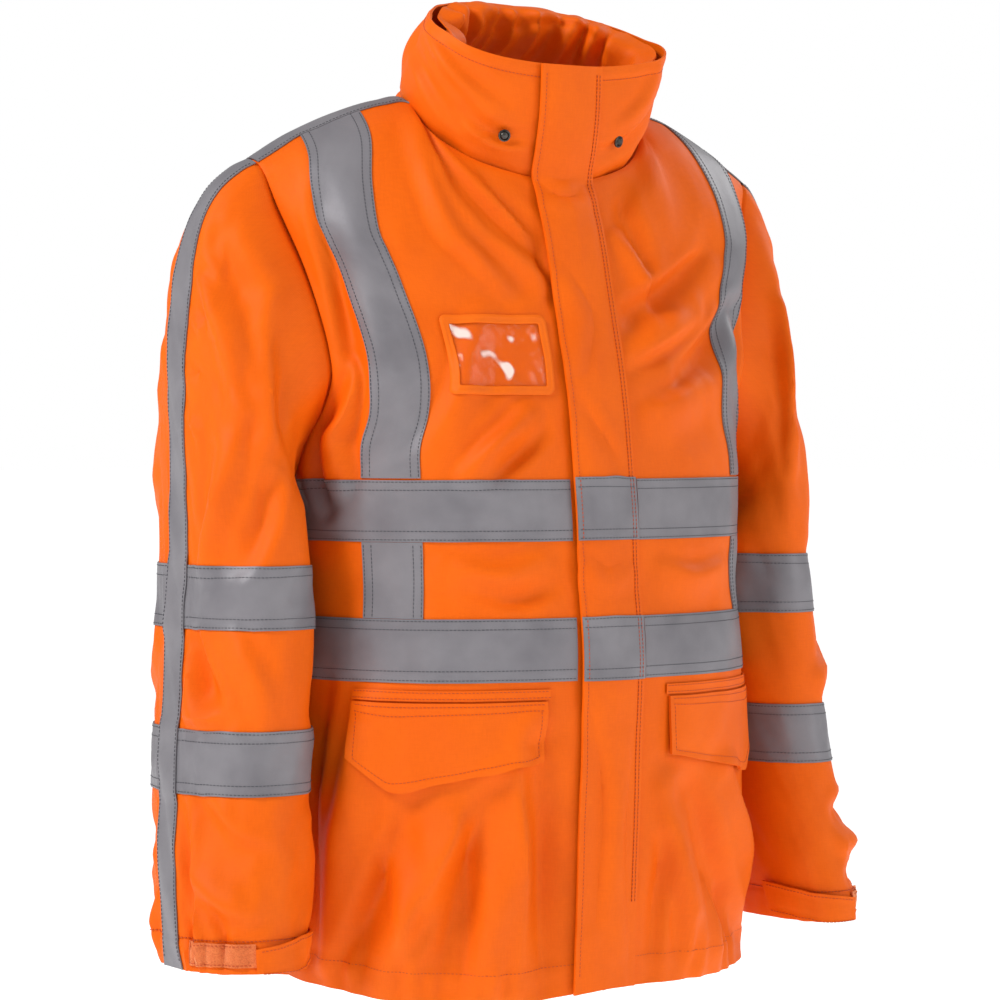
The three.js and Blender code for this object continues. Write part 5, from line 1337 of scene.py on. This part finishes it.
# The zip in the gap between the fronts: its tape, and two rows of teeth.
ZIP_HALF, ZIP_LOW, ZIP_LENGTH = 6, 32.5, 740
ZIP_SUNK, ZIP_WALL = 0.2, 1
zip_rows = np.concatenate([[centre_line[1]], centre_line[1:]])
zip_rows[0] = (0, zip_rows[0][1] + 1, ZIP_LOW)
zip_line = through_points(zip_rows, 8)
zip_right, zip_left = zip_line + (-ZIP_HALF, 0, 0), zip_line + (ZIP_HALF, 0, 0)
zip_grid = np.stack([zip_right, zip_line, zip_left], axis=1)
zip_normals = unit(np.cross(zip_left - zip_right, np.gradient(zip_line, axis=0)))[:, None]
zip_normals = np.repeat(zip_normals, 3, axis=1)
zip_up = np.repeat(np.linspace(0, ZIP_LENGTH, len(zip_line))[:, None], 3, axis=1)
zip_flat = np.stack([np.repeat([[-ZIP_HALF, 0, ZIP_HALF]], len(zip_line), axis=0), zip_up], axis=-1)
zip_grid = inset(zip_grid, top=1)
shape = shell(zip_grid - zip_normals * ZIP_SUNK, zip_grid - zip_normals * (ZIP_SUNK + ZIP_WALL), zip_flat)
put(shape, "zip_tape", "zip_tape", "cloth", ("zip",),
    rests_on=("cloth_front_right", "cloth_front_left"))
# Each tooth is a block that narrows to its front: how far back or forward, half its width and half its height.
TOOTH_LAYERS = [(-0.7, 2.2, 1.2), (0.75, 1.8, 0.9)]
TOOTH_PITCH, TOOTH_ASIDE, TOOTH_FORWARD = 3.0, 1.3, 0.35
teeth = Shape()
zip_curve = Curve(zip_line)
right = np.array([1.0, 0, 0])
for index, share in enumerate(np.arange(0.004, 0.992, TOOTH_PITCH / zip_curve.length)):
    forward = np.array([np.interp(share, zip_curve.share, zip_normals[:, 1, k]) for k in range(3)])
    upward = np.cross(forward, right)
    aside = TOOTH_ASIDE if index % 2 else -TOOTH_ASIDE
    centre = zip_curve.at(np.array([share]))[0] + right * aside + forward * TOOTH_FORWARD
    corners = [centre + right * x * wide + upward * z * high + forward * y
               for y, wide, high in TOOTH_LAYERS for x, z in BOX_CORNERS]
    teeth.add(corners, BOX_FACES, np.zeros((24, 2)))
put(teeth, "zip_teeth", "teeth", "cloth", sharp=30)

# The storm flap over the zip, and the tapes on it. Its seams run at these places across it.
FLAP_FREE_SEAM = -26
FLAP_SEWN_SEAMS = (23, 26.5)
flap_rows, flap_columns = finer(0, flap.rows - 1, ROW_STEPS), finer(0, len(FLAP_COLUMNS) - 1, FLAP_STEPS)
points, normals, flat = flap.patch(flap_rows, flap_columns)
points = inset(points, top=0.5)
edge = 0.5 * blob((flat[..., 0] + 27) / 3) - 0.45 * blob((flat[..., 0] + 25.2) / 1.8)
seam_line = -0.5 * blob((flat[..., 0] - FLAP_SEWN_SEAMS[0]) / 2)
lift = flap_lift(flap_columns)[None, :]
outer = points + normals * (lift + FLAP_WALL + edge + seam_line)[..., None]
shape = shell(outer, points + normals * np.broadcast_to(lift, outer.shape[:2])[..., None], flat)
put(shape, "cloth_storm_flap", "cloth", "cloth", ("storm_flap",),
    rests_on=("cloth_front_left", "zip_tape"))
for x, start in ((FLAP_FREE_SEAM, 0.3), *((seam, 1.6) for seam in FLAP_SEWN_SEAMS)):
    column = flap_column(x)
    sew_places("orange_thread", flap, finer(start, flap.rows - 1.3, ROW_STEPS), column, flap_lift(column) + FLAP_WALL)
for band, rows in (("belly", BELLY_ROWS), ("chest", CHEST_ROWS)):
    lift = flap_lift(flap_columns)[None, :] + FLAP_WALL + TAPE_LIFT
    shape = layer(flap, finer(*rows, ROW_STEPS), flap_columns, lift, TAPE_WALL)
    put(shape, f"tape_{band}_band_flap", "tape", "tape", (f"{band}_band_flap",),
        rests_on=("cloth_storm_flap",))
    for row in tape_seams(*rows):
        sew_places("dark_thread", flap, row, flap_columns, flap_lift(flap_columns) + FLAP_WALL + TAPE_TOP)
    for x in (FLAP_FREE_SEAM, *FLAP_SEWN_SEAMS):
        column = flap_column(x)
        sew_places("orange_thread", flap, finer(*rows, ROW_STEPS), column, flap_lift(column) + FLAP_WALL + TAPE_TOP)


def front_places(surface, side, parts, heights):
    """Rows and columns of places on a front panel that are given by part of the way out and height."""
    parts, heights = np.broadcast_arrays(np.asarray(parts, float), np.asarray(heights, float))
    across_of = surface.values[1:-1, 1:-1, 3] / QUARTER
    up_of = grid_of["front_right" if side < 0 else "front_left"][..., 2]
    row_numbers, column_numbers = np.arange(surface.rows), np.arange(surface.columns)
    rows, columns = np.empty(parts.shape), np.empty(parts.shape)
    for place in np.ndindex(parts.shape):
        row = np.interp(heights[place], LOW_HEIGHTS, range(len(LOW_HEIGHTS)))
        for _ in range(4):
            low = min(int(row), surface.rows - 2)
            line = lerp(across_of[low], across_of[low + 1], row - low)
            order = slice(None, None, -1) if side < 0 else slice(None)
            column = np.interp(parts[place], line[order], column_numbers[order])
            left = min(int(column), surface.columns - 2)
            ups = lerp(up_of[:, left], up_of[:, left + 1], column - left)
            row = np.interp(heights[place], ups, row_numbers)
        rows[place], columns[place] = row, column
    return rows, columns


def evened(numbers):
    """A grid of row or column numbers with its small steps smoothed out."""
    for _ in range(16):
        numbers = numbers.T.copy()
        numbers[1:-1] = (numbers[:-2] + 2 * numbers[1:-1] + numbers[2:]) / 4
    return numbers


# Lower pocket flaps with their welts.
POCKET = dict(top=240, parts=(0.2, 0.735), inner=46, corner=0.8, drop=70, outer=43)
POCKET_WIDE, POCKET_WALL = 155, 2.2
WELT = dict(low=241.5, high=250, parts=(0.19, 0.745), lift=0.9, wall=1)


def pocket_drop(across):
    return np.where(across < POCKET["corner"], lerp(POCKET["inner"], POCKET["drop"], across / POCKET["corner"]),
                    lerp(POCKET["drop"], POCKET["outer"], (across - POCKET["corner"]) / (1 - POCKET["corner"])))


for name, side, surface in (("right", -1, front_right), ("left", 1, front_left)):
    share = np.linspace(0, 1, 61)
    parts = lerp(*POCKET["parts"], share)
    down = np.linspace(1, 0, 22)[:, None]
    if side < 0:
        parts, share = parts[::-1], share[::-1]
    heights = POCKET["top"] - down * pocket_drop(share)[None, :]
    rows, columns = front_places(surface, side, parts[None, :], heights)
    points, normals, flat = surface.patch(evened(rows), evened(columns))
    lift = 0.8 + 2.4 * down + 0.9 * np.sin(share * 9.5 + 0.6)[None, :] * down ** 2
    border = np.minimum((np.minimum(share, 1 - share) * POCKET_WIDE)[None, :], (1 - down) * pocket_drop(share)[None, :])
    groove = -0.45 * blob((border - 5.5) / 1.8) + 0.35 * blob((border - 2) / 3)
    outer = points + normals * (lift + POCKET_WALL + groove)[..., None]
    shape = shell(outer, points + normals * lift[..., None], flat)
    put(shape, f"cloth_pocket_flap_{name}", "cloth", "cloth", (f"pocket_flap_{name}",),
        rests_on=(f"cloth_front_{name}",))
    line = np.concatenate([outer[2:-3, 2][::-1], outer[2, 2:-2], outer[2:-3, -3]])
    line_normals = np.concatenate([normals[2:-3, 2][::-1], normals[2, 2:-2], normals[2:-3, -3]])
    sew("orange_thread", line, line_normals)
    for row in (-2, -4):
        sew("orange_thread", outer[row, 1:-1], normals[row, 1:-1])
    parts = lerp(*WELT["parts"], np.linspace(0, 1, 61))
    if side < 0:
        parts = parts[::-1]
    rows, columns = front_places(surface, side, parts[None, :], np.linspace(WELT["low"], WELT["high"], 6)[:, None])
    points, normals, flat = surface.patch(rows, columns)
    outer = points + normals * (WELT["lift"] + WELT["wall"])
    shape = shell(outer, points + normals * WELT["lift"], flat)
    put(shape, f"cloth_pocket_welt_{name}", "cloth", "cloth", (f"pocket_welt_{name}",),
        rests_on=(f"cloth_front_{name}",))
    for row in (1, -2):
        sew("orange_thread", outer[row], normals[row])

# Pass window: a welded frame and a clear pane.
WINDOW = dict(part=0.37, panel=228, height=516, half=(45, 32), frame=7, corner=6)
# How high the frame stands on the cloth, from its outer to its inner edge, and where its underside is.
FRAME_HIGH = [1.9, 2.7, 2.8, 2.2, 2.8, 2.2]
FRAME_UNDER = 1.2
PANE_HALF = (37.4, 24.4)
PANE_COLUMNS, PANE_ROWS = 41, 25
PANE_WALL = 0.8


def window_patch(across, ups):
    parts = WINDOW["part"] - across / WINDOW["panel"]
    rows, columns = front_places(front_right, -1, parts, WINDOW["height"] + ups)
    return front_right.patch(rows, columns)


def rounded_loop(half_x, half_up, radius, steps=6, count=12):
    """A closed loop with round corners, so many steps in a corner and so many along a side."""
    signs = ((1, 1), (-1, 1), (-1, -1), (1, -1))

    def on_corner(corner, angle):
        x, up = signs[corner % 4]
        return np.array((x * (half_x - radius) + radius * math.cos(angle),
                         up * (half_up - radius) + radius * math.sin(angle)))

    loop = []
    for corner in range(4):
        loop += [on_corner(corner, math.pi / 2 * (corner + step / steps)) for step in range(steps + 1)]
        end = on_corner(corner + 1, math.pi / 2 * (corner + 1))
        loop += [lerp(loop[-1], end, k / count) for k in range(1, count)]
    return np.array(loop + loop[:1])


shrinks = np.linspace(0, WINDOW["frame"], len(FRAME_HIGH))
loops = np.array([rounded_loop(WINDOW["half"][0] - shrink, WINDOW["half"][1] - shrink, WINDOW["corner"] - 0.6 * shrink)
                  for shrink in shrinks])
points, _, flat = window_patch(loops[..., 0], loops[..., 1])
frame_normal = unit(front_right.normal(*front_places(front_right, -1, WINDOW["part"], WINDOW["height"])))
profile = np.array(FRAME_HIGH)[:, None, None]
shape = shell(points + frame_normal * profile, points + frame_normal * FRAME_UNDER, flat, closed=True)
put(shape, "welded_pass_frame", "welded", "cloth", ("pass_frame",),
    rests_on=("cloth_front_right",))
pane_x = np.linspace(-PANE_HALF[0], PANE_HALF[0], PANE_COLUMNS)[None, :]
pane_up = np.linspace(-PANE_HALF[1], PANE_HALF[1], PANE_ROWS)[:, None]
points, _, flat = window_patch(*np.broadcast_arrays(pane_x, pane_up))
buckle = 1.2 + 0.5 * np.sin(pane_x / 9 + 1) * np.cos(pane_up / 14) + 0.3 * np.sin(pane_x / 5 + pane_up / 7)
shape = shell(points + frame_normal * (buckle + PANE_WALL)[..., None], points + frame_normal * buckle[..., None], flat)
put(shape, "clear_pass_window", "window", "window", ("pass_window",),
    rests_on=("welded_pass_frame",))

# Cuff tab and fuzzy strip on each sleeve: first and last column, height of the lower and the upper edge at each end,
# how high it lies, its wall, its look and its cut.
CUFF_LENGTH, CUFF_HIGH = 82, 27
CUFF_ROWS, CUFF_COLUMNS = 11, 33
CUFF_PIECES = [
    ("cuff_strip", 2, 7, (43, 43), (61, 61), 0.9, 1.2, "fuzzy", (0.082, 0.018)),
    ("cuff_tab", 7, 12, (31, 43), (57, 70), 2.4, 2.2, "cloth", (0.082, 0.027)),
]
for side_name, sleeve in sleeves.items():
    side = -1 if side_name == "right" else 1
    count = sleeve.columns
    for piece_name, start, end, low, high, lift, wall, look, cut in CUFF_PIECES:
        share = np.linspace(0, 1, CUFF_COLUMNS)
        columns = lerp(start, end, share)
        if side > 0:
            columns, share = (count - columns)[::-1], share[::-1]
        up_share = np.linspace(0, 1, CUFF_ROWS)[:, None]
        goals = lerp(lerp(*low, share), lerp(*high, share), up_share)
        samples = np.linspace(0, 4, 41)
        heights = sleeve.smooth(samples[:, None], columns[None, :])[..., 2]
        rows = np.stack([np.interp(goals[:, k], heights[:, k], samples) for k in range(len(columns))], axis=1)
        points, normals, flat = sleeve.patch(rows, np.broadcast_to(columns, rows.shape))
        border = np.minimum(np.minimum(share, 1 - share)[None, :] * CUFF_LENGTH,
                            np.minimum(up_share, up_share[::-1]) * CUFF_HIGH)
        extra = 0.35 * blob((border - 1.5) / 2) - 0.3 * blob((border - 5) / 1.6)
        lifted = np.broadcast_to(lift + 0.5 * (look == "cloth") * np.sin(share * 7)[None, :], rows.shape)
        outer = points + normals * (lifted + wall + extra)[..., None]
        shape = shell(outer, points + normals * lifted[..., None], flat)
        put(shape, f"{piece_name}_cloth_{side_name}", look, "cloth", (f"{piece_name}_{side_name}",),
            rests_on=(f"cloth_sleeve_{side_name}",))
        for row in (1, -2):
            sew("orange_thread", outer[row, 1:-1], normals[row, 1:-1])

# Topstitching of the hem. Then all stitches are made.
HEM_STITCH_UP = 25
hem_row = np.interp(HEM_STITCH_UP, LOW_HEIGHTS, range(len(LOW_HEIGHTS)))
for surface in (front_right, front_left, back):
    sew_places("orange_thread", surface, hem_row, finer(0.1, surface.columns - 1.1, COLUMN_STEPS), 0.1)
for name, shape in threads.items():
    put(shape, "stitches_" + name, name, "tape" if name == "dark_thread" else "cloth", sharp=30)

# Metal parts keep their CAD shape.
METAL_PARTS = {"zip_slider": "gunmetal", "zip_pull": "steel", "snap_right": "gunmetal", "snap_left": "gunmetal"}
for name, look in METAL_PARTS.items():
    for material_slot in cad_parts[name].material_slots:
        material_slot.material = looks[look]

# Camera at the photograph's angle, level with the chest.
scene = bpy.context.scene
VIEW_ALONG = (0.53, 0.848, 0.0)
CAMERA_FAR = 3.0
CAMERA_UP = -0.234
SENSOR, LENS, SHIFT = 36, 129, (-0.008, -0.082)
forward = np.array(VIEW_ALONG)
forward /= np.linalg.norm(forward)
camera_data = bpy.data.cameras.new("camera")
camera_data.sensor_width, camera_data.lens = SENSOR, LENS
camera_data.shift_x, camera_data.shift_y = SHIFT
camera = bpy.data.objects.new("camera", camera_data)
camera.location = (-forward[0] * CAMERA_FAR, -forward[1] * CAMERA_FAR, CAMERA_UP)
camera.rotation_euler = (math.pi / 2, 0, -math.atan2(forward[0], forward[1]))
scene.collection.objects.link(camera)
scene.camera = camera

# A wide pale floor, well below the hem.
FLOOR = -1.15
FLOOR_REACH = 60
FLOOR_CORNERS = 64
FLOOR_GLOW = 0.68
turns = np.linspace(0, 2 * math.pi, FLOOR_CORNERS + 1)[:-1]
floor_mesh = bpy.data.meshes.new("studio_floor")
floor_mesh.from_pydata([(FLOOR_REACH * math.cos(a), FLOOR_REACH * math.sin(a), FLOOR) for a in turns], [],
                       [tuple(range(FLOOR_CORNERS))])
stage_look = Look("pale_floor", 0.9, Specular_IOR_Level=0.1, Emission_Strength=FLOOR_GLOW)
stage_noise = stage_look.noise(stage_look.place(), scale=0.6, detail=1.0)
floor_mesh.materials.append(stage_look.set(
    Base_Color=stage_look.mix(stage_noise, srgb(250, 250, 250), srgb(254, 254, 254)), Emission_Color=(1, 1, 1, 1)))
floor = bpy.data.objects.new("studio_floor", floor_mesh)
scene.collection.objects.link(floor)

world = scene.world or bpy.data.worlds.new("world")
scene.world = world
world.use_nodes = True
# The backdrop is white to the camera and less than half as bright to the cloth, which keeps the folds clear.
BRIGHT_TO_CLOTH, BRIGHT_TO_CAMERA = 0.42, 1.0
backdrop = world.node_tree.nodes["Background"]
backdrop.inputs[0].default_value = (1, 1, 1, 1)
seen = world.node_tree.nodes.new("ShaderNodeLightPath")
strength = world.node_tree.nodes.new("ShaderNodeMapRange")
strength.inputs["To Min"].default_value = BRIGHT_TO_CLOTH
strength.inputs["To Max"].default_value = BRIGHT_TO_CAMERA
world.node_tree.links.new(seen.outputs["Is Camera Ray"], strength.inputs["Value"])
world.node_tree.links.new(strength.outputs["Result"], backdrop.inputs[1])
scene.view_settings.view_transform = "Standard"


LIGHT_TARGET = (0, 0, -0.3)


def area_light(name, azimuth, elevation, distance, size, power):
    """A square soft light that aims at the middle of the jacket. Azimuth 0 is in front."""
    data = bpy.data.lights.new(name, "AREA")
    data.shape = "SQUARE"
    data.size, data.energy = size, power
    light = bpy.data.objects.new(name, data)
    a, e = math.radians(azimuth), math.radians(elevation)
    place = np.array([math.sin(a) * math.cos(e), -math.cos(a) * math.cos(e), math.sin(e)]) * distance
    light.location = tuple(np.array(LIGHT_TARGET) + place)
    light.rotation_euler = (math.pi / 2 - e, 0, a)
    scene.collection.objects.link(light)


area_light("key", -84, 38, 3.2, 0.9, 74)
area_light("front_fill", 34, 16, 4.0, 1.6, 38)
area_light("rim", 104, 30, 3.4, 1.2, 26)
